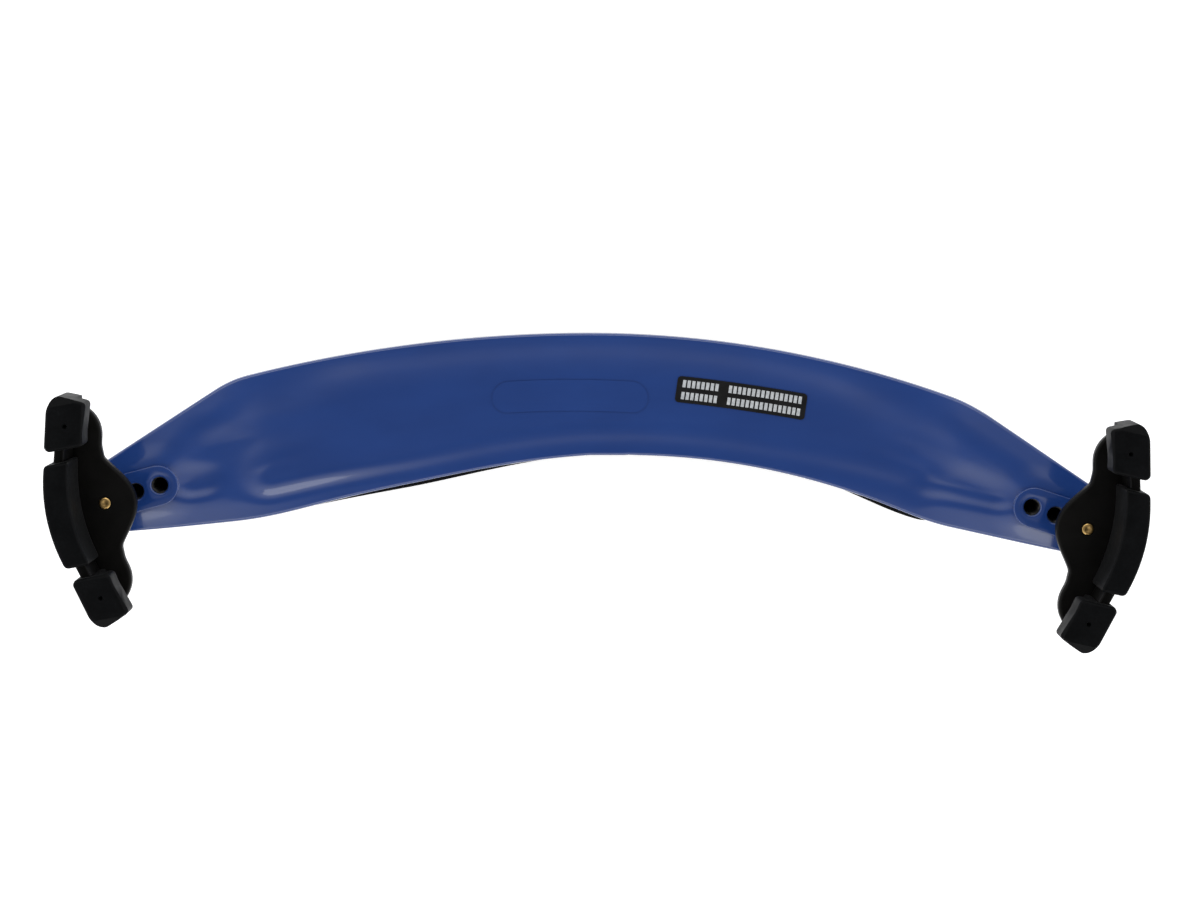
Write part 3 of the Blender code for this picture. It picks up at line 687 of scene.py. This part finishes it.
def boot_rubber():
    """Black rubber with a bluish bloom, dusty in patches, lightly pitted by its mould."""
    look = Look("black_boot_rubber", 0.5, specular=0.06)
    bloom = look.noise(170.0, 6.0, 0.65)
    dust = look.noise(1400.0, 3.0, 0.7)
    dusty = look.product(bloom, dust)
    clean, bloomed, dusted = (0.0014, 0.0016, 0.0019), (0.0025, 0.0028, 0.0033), (0.0065, 0.0073, 0.0086)
    look.tint(dusty, (0.14, clean), (0.34, bloomed), (0.52, dusted))
    look.dull(bloom, (0.30, 0.40), (0.70, 0.60))
    pits = look.bump(look.cells(2600.0), 0.20, 0.04)
    look.feed("Normal", look.bump(look.noise(420.0, 5.0, 0.6), 0.35, 0.06, pits))
    look.feed("Sheen Weight", 0.02)
    look.feed("Sheen Roughness", 0.4)
    return look.material


def foam_cells():
    """Open-cell black foam: ragged pores at two sizes over a charcoal skin, with painted shade in each
    pore's hollow.
    """
    look = Look("black_open_cell_foam", 0.92, specular=0.1)
    pores = look.cells(1500.0)
    coarse = look.cells(620.0)
    mottle = look.noise(60.0, 4.0)
    # painted shade: the middle of each pore is coloured darker than the cell wall round it, as shade in its
    # hollow
    depth = look.product(pores, 1.5)
    hole, wall, middle = (0.002, 0.002, 0.0022), (0.012, 0.012, 0.013), (0.006, 0.006, 0.0065)
    colour = look.ramp(depth, ((0.05, hole), (0.55, wall)))
    look.feed("Base Color", look.mixed(mottle, colour, middle))
    base = look.bump(coarse, 0.6, 0.30)
    look.feed("Normal", look.bump(pores, 0.9, 0.25, base))
    return look.material


def adhesive_film():
    """Cream double-sided tape, slightly yellowed."""
    look = Look("adhesive_film", 0.55)
    aged, cream = (0.50, 0.46, 0.36), (0.60, 0.56, 0.46)
    look.tint(look.noise(90.0), (0.3, aged), (0.7, cream))
    look.feed("Normal", look.bump(look.noise(700.0), 0.2, 0.03))
    return look.material


def label_film():
    """Black vinyl film with a soft, slightly wavy sheen."""
    look = Look("label_black_vinyl", 0.36, specular=0.2)
    dark, pale = (0.006, 0.006, 0.0062), (0.010, 0.010, 0.0105)
    look.tint(look.noise(200.0), (0.3, dark), (0.7, pale))
    look.dull(look.noise(500.0, 3.0), (0.3, 0.30), (0.7, 0.42))
    look.feed("Normal", look.bump(look.noise(330.0, 2.0), 0.15, 0.04))
    return look.material


def label_ink():
    """Pale screen-printed ink, greyer where it is thin."""
    look = Look("label_pale_ink", 0.5)
    thin, thick = (0.36, 0.38, 0.40), (0.56, 0.58, 0.60)
    look.tint(look.noise(1500.0, 3.0), (0.3, thin), (0.7, thick))
    look.feed("Normal", look.bump(look.noise(2500.0), 0.2, 0.01))
    return look.material


def bush_nylon():
    """Black nylon with a fine uneven grain."""
    look = Look("bush_black_nylon", 0.38)
    dark, pale = (0.008, 0.008, 0.008), (0.016, 0.016, 0.015)
    look.tint(look.noise(400.0), (0.3, dark), (0.7, pale))
    look.dull(look.noise(800.0), (0.3, 0.32), (0.7, 0.48))
    look.feed("Normal", look.bump(look.noise(1800.0), 0.2, 0.02))
    return look.material


def post_brass():
    """Turned brass, dulled, with fine tool rings and darker handling marks."""
    look = Look("turned_brass", 0.3, metallic=1.0)
    tarnish = look.noise(420.0, 5.0, 0.65)
    handled, clean = (0.42, 0.26, 0.09), (0.64, 0.43, 0.17)
    look.tint(tarnish, (0.30, handled), (0.62, clean))
    look.dull(tarnish, (0.30, 0.42), (0.70, 0.24))
    rings = look.noise(600.0, 2.0, 0.5, (0.3, 0.3, 9.0))
    look.feed("Normal", look.bump(rings, 0.25, 0.02))
    return look.material


def pale_floor():
    """White card, lit a little from within so that it stays white under the rest."""
    look = Look("studio_floor", 0.75, specular=0.2)
    look.tint(look.noise(3.0, 2.0), (0.3, 0.84), (0.7, 0.86))
    look.feed("Emission Color", (1.0, 1.0, 1.0))
    look.feed("Emission Strength", 0.58)
    return look.material


# ---- finishing a piece ----

def paint(obj, material):
    obj.data.materials.clear()
    obj.data.materials.append(material)


def finish_piece(obj, body, slot, material, nodes=()):
    paint(obj, material)
    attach(obj, body)
    if nodes:
        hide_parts(*nodes)


# ---- the platform ----

def blank_panel():
    """A plain raised pill on the floor, where a mark would be moulded."""
    def plan(along, across):
        u = PANEL_LENGTH * (crowded(along) - 0.5)
        half = PANEL_WIDTH / 2
        pinch = edge_roll(PANEL_LENGTH / 2 - abs(u), half) * PANEL_PINCH
        v = (half - pinch) * (2 * across - 1) - u * u / (2 * CONVEX_RIGHT_R)
        return PANEL_CENTRE[0] + u, PANEL_CENTRE[1] + v

    return slab("panel", *PANEL_GRID, plan, lambda x, y: floor_top(x, y) + PANEL_RISE,
                lambda x, y: floor_top(x, y) - PANEL_ROOT)


def hole_tool(centre):
    """Shallow ring, chamfered mouth and clearance hole above, bush pocket below."""
    over, ceiling = 1.0, BUSH_TOP_Z + BUSH_GAP
    pocket_r, ring_z = BUSH_R + BUSH_GAP, BOSS_TOP_Z - RING_DEPTH
    return turned("hole_tool", centre, (
        (RING_R + 0.1 * over, BOSS_TOP_Z + over), (RING_R, BOSS_TOP_Z), (RING_R - RING_TAPER, ring_z),
        (HOLE_R + HOLE_CHAMFER, ring_z), (HOLE_R, ring_z - HOLE_CHAMFER), (HOLE_R, ceiling),
        (pocket_r, ceiling), (pocket_r, SOCKET_BOTTOM_Z - over)))


def stadium(holes, half_width, z, inner_trim=0.0):
    """A rounded slot's outline round a row of holes."""
    inner, outer = Vector(holes[0]), Vector(holes[-1])
    way = (outer - inner).normalized()
    start, steps = atan2(way.y, way.x), 24
    ring = []
    for centre, turn in ((outer, -pi / 2), (inner + way * inner_trim, pi / 2)):
        for step in range(steps + 1):
            angle = start + turn + pi * step / steps
            point = centre + half_width * Vector((cos(angle), sin(angle)))
            ring.append(at(point.x, point.y, z))
    return ring


def boss_form(holes):
    """Flat-topped boss with softened edges, through the shell."""
    r, half = BOSS_EDGE_R, BOSS_HALF_WIDTH
    turns = (0.0, 0.4, 0.8, 1.2, pi / 2)
    levels = [(half - r * (1 - sin(a)), BOSS_TOP_Z - r * (1 - cos(a))) for a in turns]
    levels += [(half, BOSS_BOTTOM_Z + r), (half - r, BOSS_BOTTOM_Z)]
    return ring_solid("boss", [stadium(holes, width, z, BOSS_INNER_TRIM) for width, z in levels])


def socket_form(holes):
    """The deep part of a boss under the platform, drafted, with its lower edge rounded."""
    half, low, r = SOCKET_HALF_WIDTH, SOCKET_BOTTOM_Z, SOCKET_EDGE_R
    levels = ((half + SOCKET_DRAFT, BOSS_BOTTOM_Z + SOCKET_OVERLAP), (half, low + r),
              (half - 0.3 * r, low + 0.3 * r), (half - r, low))
    return ring_solid("socket", [stadium(holes, width, z) for width, z in levels])


def make_platform_shell(material):
    shell = slab("platform_shell_fine", *SHELL_GRID, shell_plan, shell_top, shell_under,
                 levels=3, bulge=0.12)
    combine(shell, blank_panel(), "UNION")
    for holes in (LEFT_HOLES, RIGHT_HOLES):
        combine(shell, boss_form(holes), "UNION")
        combine(shell, socket_form(holes), "UNION")
        for centre in holes:
            combine(shell, hole_tool(centre), "DIFFERENCE")
    smooth_by_angle(shell, 38)
    finish_piece(shell, "platform", "platform", material, ["platform_shell"])


def thread_radius(z, root_r):
    """Radius round a screw thread at height z, as a function of the angle."""
    def radius(angle):
        phase = (z / THREAD_PITCH - angle / (2 * pi)) % 1.0
        flank = abs(2 * phase - 1)
        return root_r + THREAD_DEPTH * min(max(THREAD_GAIN * flank - THREAD_FLAT, 0.0), 1.0)
    return radius


def thread_profile(high, low, root_r):
    """Radii and heights down a screw thread."""
    count = int((high - low) / THREAD_PITCH * THREAD_STEPS)
    heights = [high + (low - high) * step / count for step in range(count + 1)]
    return [(thread_radius(z, root_r), z) for z in heights]


def make_bushes(side, holes, material):
    """A threaded cup: up its outside, over its lip and down the thread to its closed floor."""
    bore_low = BUSH_BOTTOM_Z + BUSH_FLOOR
    profile = [(BUSH_CORE_R, BUSH_BOTTOM_Z), (BUSH_R - BUSH_EDGE, BUSH_BOTTOM_Z),
               (BUSH_R, BUSH_BOTTOM_Z + BUSH_EDGE), (BUSH_R, BUSH_TOP_Z - BUSH_EDGE),
               (BUSH_R - BUSH_LIP, BUSH_TOP_Z), (BUSH_THREAD_R + BUSH_LEAD_IN, BUSH_TOP_Z)]
    profile += thread_profile(BUSH_TOP_Z - BUSH_EDGE, bore_low, BUSH_THREAD_R)
    profile.append((BUSH_CORE_R, bore_low))
    for hole, centre in zip(HOLE_NAMES, holes):
        bush = turned(side + "_bush_" + hole + "_threaded", centre, profile)
        bush.data.flip_normals()
        smooth_by_angle(bush, 50)
        finish_piece(bush, "platform", "bush_nylon", material, [side + "_bush_" + hole])


# ---- foam and label ----

def foam_low(x):
    """The foam's edge on the concave side, which shows past the shell in two long stretches."""
    shown = sum(smooth_step(1 - abs(x - middle) / reach) for middle, reach in FOAM_SHOWS)
    return concave_edge(x) + FOAM_HIDDEN - FOAM_SHOWN * shown


def foam_sides(x):
    """The foam's two long edges, drawn in near its rounded ends."""
    to_end = min(x - FOAM_LEFT_X, FOAM_RIGHT_X - x)
    pinch = edge_roll(to_end, FOAM_END_R) * FOAM_END_PINCH
    return foam_low(x) + pinch, convex_edge(x) - FOAM_INSET - pinch


def foam_plan(along, across):
    x = FOAM_LEFT_X + (FOAM_RIGHT_X - FOAM_LEFT_X) * crowded(along, 0.7)
    low, high = foam_sides(x)
    return x, low + (high - low) * crowded(across, 0.8)


def foam_edge(x, y):
    """Distance inside the foam's outline."""
    low, high = foam_sides(x)
    return min((y - low) * slope_cos(concave_edge, x), (high - y) * slope_cos(convex_edge, x),
               x - FOAM_LEFT_X, FOAM_RIGHT_X - x)


def foam_top(x, y):
    """Against the shell round the border, lower over the middle where the adhesive sheet lies."""
    within = FOAM_TOP_R  # the shell's underside isn't read closer to its edges
    inside_y = min(max(y, concave_edge(x) + within), convex_edge(x) - within)
    edge = foam_edge(x, y)
    sheet_room = 2 * SHEET_GAP + SHEET_THICKNESS + SHEET_SLACK - FOAM_TOP_GAP
    under_sheet = smooth_step((edge - SHEET_MARGIN) / SHEET_MARGIN)
    return under_height(x, inside_y) - FOAM_TOP_GAP - sheet_room * under_sheet - edge_roll(edge, FOAM_TOP_R)


def foam_bottom(x, y):
    """Flat in the middle, rising toward the ends, with rounded edges and a slightly uneven cut."""
    past = max(abs(x) - FOAM_FLAT_X, 0.0) / (FOAM_RIGHT_X - FOAM_FLAT_X)
    uneven = CUT_HEIGHT * noise.noise(Vector((x, y, CUT_SLICE)) * CUT_SCALE)
    return FOAM_END_LIFT * past ** FOAM_END_POWER + edge_roll(foam_edge(x, y), FOAM_EDGE_R) + abs(uneven)


def make_foam_pad(material):
    foam = slab("foam_pad_cut", *FOAM_GRID, foam_plan, foam_top, foam_bottom, levels=12, bulge=0.25)
    smooth_by_angle(foam, 60)
    finish_piece(foam, "platform", "foam", material, ["foam_pad"])


def label_point(u, v):
    """Plan point of a place on the label: u along it and v across it, bowed a little."""
    tilt = radians(LABEL_TILT)
    v -= u * u / (2 * LABEL_BOW_R)
    return LABEL_CENTRE[0] + u * cos(tilt) - v * sin(tilt), LABEL_CENTRE[1] + u * sin(tilt) + v * cos(tilt)


def label_plan(along, across):
    half_length, half_width = LABEL_LENGTH / 2, LABEL_WIDTH / 2
    u = half_length * sin(pi * (along - 0.5))
    pinch = edge_roll(half_length - abs(u), LABEL_CORNER_R) * LABEL_PINCH
    return label_point(u, (half_width - pinch) * (2 * across - 1))


def label_top(x, y):
    return floor_top(x, y) + LABEL_GAP + LABEL_THICKNESS


def label_bar(u0, v0):
    """One printed bar, from its lower left corner."""
    def plan(along, across):
        return label_point(u0 + BAR_WIDTH * along, v0 + BAR_HEIGHT * across)

    return slab("bar", 2, 1, plan, lambda x, y: label_top(x, y) + BAR_RISE,
                lambda x, y: label_top(x, y) + BAR_RISE / 3)


def make_blank_label(film, ink):
    """The label's film, and two rows of plain bars in place of its printing, joined into one piece."""
    label = slab("blank_label_film", *LABEL_GRID, label_plan, label_top,
                 lambda x, y: floor_top(x, y) + LABEL_GAP)
    smooth_by_angle(label, 40)
    finish_piece(label, "platform", "label", film, ["blank_label"])
    bm = bmesh.new()
    for row in (BAR_ROW, -BAR_ROW):
        for start, count in BAR_GROUPS:
            for i in range(count):
                bar = label_bar(start + i * BAR_PITCH, row - BAR_HEIGHT / 2)
                bm.from_mesh(bar.data)
                bpy.data.objects.remove(bar, do_unlink=True)
    finish_piece(bmesh_object("label_bars", bm), "platform", "label", ink)


# ---- posts ----

def make_post(side, centre, material):
    """Thread, shoulder, spigot and a peened head that stands just proud of the plate."""
    shoulder, head = PLATE_TOP_Z - COLLAR_DROP - SHOULDER_GAP, PLATE_TOP_Z + RIVET_RISE
    root_r = THREAD_R - THREAD_DEPTH
    profile = [(radius, head - fall) for radius, fall in RIVET_FORM]
    profile += [(SPIGOT_R, PLATE_TOP_Z - SPIGOT_SEAT), (SPIGOT_R - SPIGOT_TAPER, shoulder),
                (THREAD_R - POST_CHAMFER, shoulder), (THREAD_R, shoulder - POST_CHAMFER),
                (THREAD_R, shoulder - PLAIN_LENGTH), (root_r, shoulder - RUNOUT)]
    profile += thread_profile(shoulder - THREAD_TOP, POST_BOTTOM_Z + POST_LEAD, root_r)
    profile += [(THREAD_R - POST_LEAD, POST_BOTTOM_Z), (POST_CORE_R, POST_BOTTOM_Z)]
    post = turned(side + "_post_threaded", centre, profile)
    smooth_by_angle(post, 45)
    finish_piece(post, side + "_post", "post_brass", material, [side + "_post"])


# ---- forks ----

def wall_middle(v):
    """The upright wall's middle line: an arc, then straight toward each end."""
    reach = min(abs(v), WALL_STRAIGHT_V)
    u = WALL_U - reach * reach / (2 * WALL_R)
    return u - (abs(v) - reach) * WALL_STRAIGHT_V / WALL_R


def plate_inner(v):
    """The plate's inner edge: a lobe round the post, a waist and a lobe at each end."""
    v = abs(v)
    if v < WAIST_V:
        return WAIST_U - LOBE_RISE * cos(pi * v / (2 * WAIST_V)) ** LOBE_POWER
    lobe = END_LOBE_U - sqrt(END_LOBE_R ** 2 - (v - END_LOBE_V) ** 2)
    if v < END_LOBE_V:
        return smooth_min(WAIST_U, lobe, WAIST_BLEND)
    return lobe


def strip_outline(inner, outer, end_v, steps):
    """Outline between two edges given as functions of v."""
    stations = [end_v * sin(pi * (i / steps - 0.5)) for i in range(steps + 1)]
    points = [(inner(v), v) for v in stations]
    points += [(outer(v), v) for v in reversed(stations)]
    return points


def upright_band(clearance, end_v, low, high, edge_r):
    """The upright wall, or with a clearance the room for it in a boot."""
    half = UPRIGHT_THICKNESS / 2 + clearance
    outline = strip_outline(lambda v: wall_middle(v) - half, lambda v: wall_middle(v) + half, end_v, 40)
    return rounded_prism("upright", outline, low, high, edge_r)


def local_rings(profile):
    """Rings about the fork's own axis, in local metres."""
    return [[Vector((r * cos(a), r * sin(a), w)) * MM for a in TURNS] for r, w in profile]


def fork_plate_form():
    outline = strip_outline(plate_inner, lambda v: wall_middle(v) + PLATE_MARGIN, PLATE_END_V, 110)
    plate = rounded_prism("fork_plate_form", outline, -PLATE_THICKNESS, 0.0, PLATE_EDGE_R, 4)
    upright = upright_band(0.0, UPRIGHT_END_V, PLATE_ROOT, UPRIGHT_HEIGHT, UPRIGHT_EDGE_R)
    combine(plate, upright, "UNION")
    collar = ((COLLAR_R, PLATE_ROOT), (COLLAR_R, -COLLAR_DROP + COLLAR_CHAMFER),
              (COLLAR_R - COLLAR_CHAMFER, -COLLAR_DROP))
    combine(plate, ring_solid("collar", local_rings(collar)), "UNION")
    over = 1.0
    sink = ((BORE_R + BORE_CHAMFER + over, over), (BORE_R, -BORE_CHAMFER), (BORE_R, -COLLAR_DROP - over))
    combine(plate, ring_solid("bore", local_rings(sink)), "DIFFERENCE")
    return plate


def boot_form(name, outline):
    return rounded_prism(name, filleted(outline, BOOT_CORNER_R), BOOT_GAP, BOOT_TOP, BOOT_EDGE_R, 4)


def boot_room(end_v):
    """The hollow that takes the upright wall."""
    return upright_band(BOOT_FIT, end_v, BOOT_FLOOR, UPRIGHT_HEIGHT + BOOT_FIT, 0.0)


def rib_pad_form():
    """The middle boot, open at both ends."""
    steps, past_end = 5, 2.0
    stations = [PAD_END_V * (i / steps - 1) for i in range(2 * steps + 1)]
    outline = [(PAD_INNER_U - v * v / (2 * PAD_INNER_R), v) for v in stations]
    outline += [(PAD_OUTER_U - v * v / (2 * WALL_R), v) for v in reversed(stations)]
    pad = boot_form("rib_pad_form", outline)
    combine(pad, boot_room(PAD_END_V + past_end), "DIFFERENCE")
    return pad


def slanted_cut(point, normal, size=30.0):
    """A block whose near face passes through a local point, to plane off what lies beyond it."""
    bm = bmesh.new()
    bmesh.ops.create_cube(bm, size=size * MM)
    turn = Vector((0, 0, 1)).rotation_difference(Vector(normal)).to_matrix().to_4x4()
    middle = Vector(point) * MM + Vector(normal).normalized() * size * MM / 2
    bmesh.ops.transform(bm, matrix=Matrix.Translation(middle) @ turn, verts=bm.verts)
    return bmesh_object("cut", bm)


def claw_form():
    """One claw on the +v side: hollow boot, inward lip, planed far end and lip edge, dimple on top."""
    claw = boot_form("claw_form", CLAW_OUTLINE)
    for (u, v), normal in CLAW_CUTS:
        combine(claw, slanted_cut((u, v, BOOT_TOP), normal), "DIFFERENCE")
    combine(claw, boot_room(UPRIGHT_END_V + BOOT_FIT), "DIFFERENCE")
    slope = WALL_STRAIGHT_V / WALL_R
    (inner, outer), (near, far) = CLAW_LIP_U, CLAW_LIP_V
    under = ((outer, near), (outer - (far - near) * slope, far), (inner, far), (inner, near))
    combine(claw, rounded_prism("lip_room", under, CLAW_LIP_BASE, CLAW_LIP_CLEARANCE), "DIFFERENCE")
    dimple = ring_solid("dimple", local_rings([(r, BOOT_TOP + rise) for r, rise in DIMPLE_FORM]))
    dimple.data.transform(Matrix.Translation(Vector((*CLAW_DIMPLE, 0)) * MM))
    combine(claw, dimple, "DIFFERENCE")
    return claw


def make_forks(plastic, rubber):
    plate, pad, claw = fork_plate_form(), rib_pad_form(), claw_form()
    for form, angle in ((plate, 40), (pad, 38), (claw, 30)):
        smooth_by_angle(form, angle)
    mirror = Matrix.Diagonal((1, -1, 1, 1))
    for side, centre, yaw, up_is_plus in (("left", LEFT_HOLES[-1], LEFT_FORK_YAW, False),
                                          ("right", RIGHT_HOLES[-1], RIGHT_FORK_YAW, True)):
        seat = Matrix.Translation(at(*centre, PLATE_TOP_Z)) @ Matrix.Rotation(radians(yaw), 4, "Z")
        upper, lower = (seat, seat @ mirror) if up_is_plus else (seat @ mirror, seat)
        for form, name, matrix, slot, material in (
                (plate, "_fork_plate", seat, "fork_plastic", plastic),
                (pad, "_rib_pad", seat, "boot_rubber", rubber),
                (claw, "_upper_claw", upper, "boot_rubber", rubber),
                (claw, "_lower_claw", lower, "boot_rubber", rubber)):
            piece = placed_copy(form, side + name + "_fine", matrix)
            finish_piece(piece, side + "_fork", slot, material, [side + name])
    for form in (plate, pad, claw):
        bpy.data.objects.remove(form, do_unlink=True)


# ---- studio ----

def make_floor():
    half, z = 4.0, -0.0002  # just under the foam
    corners = [(-half, -half, z), (half, -half, z), (half, half, z), (-half, half, z)]
    floor = mesh_object("studio_floor", corners, [(0, 1, 2, 3)])
    paint(floor, pale_floor())


def soft_light(name, turn, height, size, radiance):
    """A softbox round the object at a compass angle and an elevation, aimed at its middle."""
    away, middle = 1.1, Vector((0, 0, 0.02))
    turn, height = radians(turn), radians(height)
    place = middle + away * Vector((cos(turn) * cos(height), sin(turn) * cos(height), sin(height)))
    light = bpy.data.lights.new(name, "AREA")
    light.shape = "RECTANGLE"
    light.size, light.size_y = size
    light.energy = radiance * pi * size[0] * size[1]
    obj = new_object(name, light)
    obj.location = place
    obj.rotation_euler = (middle - place).to_track_quat("-Z", "Y").to_euler()


def make_studio():
    """A pale tent, dim overhead and further down along X than along Y, with a softbox on each side."""
    world = bpy.data.worlds.new("studio")
    world.use_nodes = True
    nodes, links = world.node_tree.nodes, world.node_tree.links
    direction = nodes.new("ShaderNodeSeparateXYZ")
    links.new(nodes.new("ShaderNodeTexCoord").outputs["Generated"], direction.inputs[0])
    level = direction.outputs["Z"]
    for axis, share in (("X", 0.35), ("Y", -0.5)):
        square, scaled = nodes.new("ShaderNodeMath"), nodes.new("ShaderNodeMath")
        square.operation, scaled.operation = "MULTIPLY", "MULTIPLY_ADD"
        links.new(direction.outputs[axis], square.inputs[0])
        links.new(direction.outputs[axis], square.inputs[1])
        links.new(square.outputs["Value"], scaled.inputs[0])
        scaled.inputs[1].default_value = share
        links.new(level, scaled.inputs[2])
        level = scaled.outputs["Value"]
    tent = nodes.new("ShaderNodeValToRGB")
    set_stops(tent, ((0.0, 0.80), (0.66, 1.15), (0.82, 0.70), (0.93, 0.24), (1.0, 0.13)))
    links.new(level, tent.inputs["Fac"])
    links.new(tent.outputs["Color"], nodes["Background"].inputs["Color"])
    bpy.context.scene.world = world
    for name, turn, height, width, radiance in (("back", 92, 42, 0.9, 2.0), ("front", -88, 42, 0.9, 1.7),
                                                ("left", 180, 30, 0.5, 1.7), ("right", 0, 30, 0.5, 1.7)):
        soft_light(name + "_softbox", turn, height, (width, 0.35), radiance)
    bpy.context.scene.view_settings.view_transform = "Standard"


def make_camera():
    """Nearly straight down, from a little toward the convex side."""
    camera = bpy.data.cameras.new("camera")
    camera.sensor_width = 36.0
    camera.lens = 80.43
    obj = new_object("camera", camera)
    lean = radians(6.0)
    distance, target = 0.68, at(1.2, 8.3, 30.0)
    obj.location = target + distance * Vector((0, sin(lean), cos(lean)))
    obj.rotation_euler = (-lean, 0, 0)
    bpy.context.scene.camera = obj


make_camera()
make_studio()
make_floor()
make_platform_shell(blue_plastic())
NYLON, BRASS = bush_nylon(), post_brass()
for side_name, hole_row in (("left", LEFT_HOLES), ("right", RIGHT_HOLES)):
    make_bushes(side_name, hole_row, NYLON)
    make_post(side_name, hole_row[-1], BRASS)
make_foam_pad(foam_cells())
make_blank_label(label_film(), label_ink())
make_forks(fork_plastic(), boot_rubber())
paint(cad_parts["adhesive_sheet"], adhesive_film())
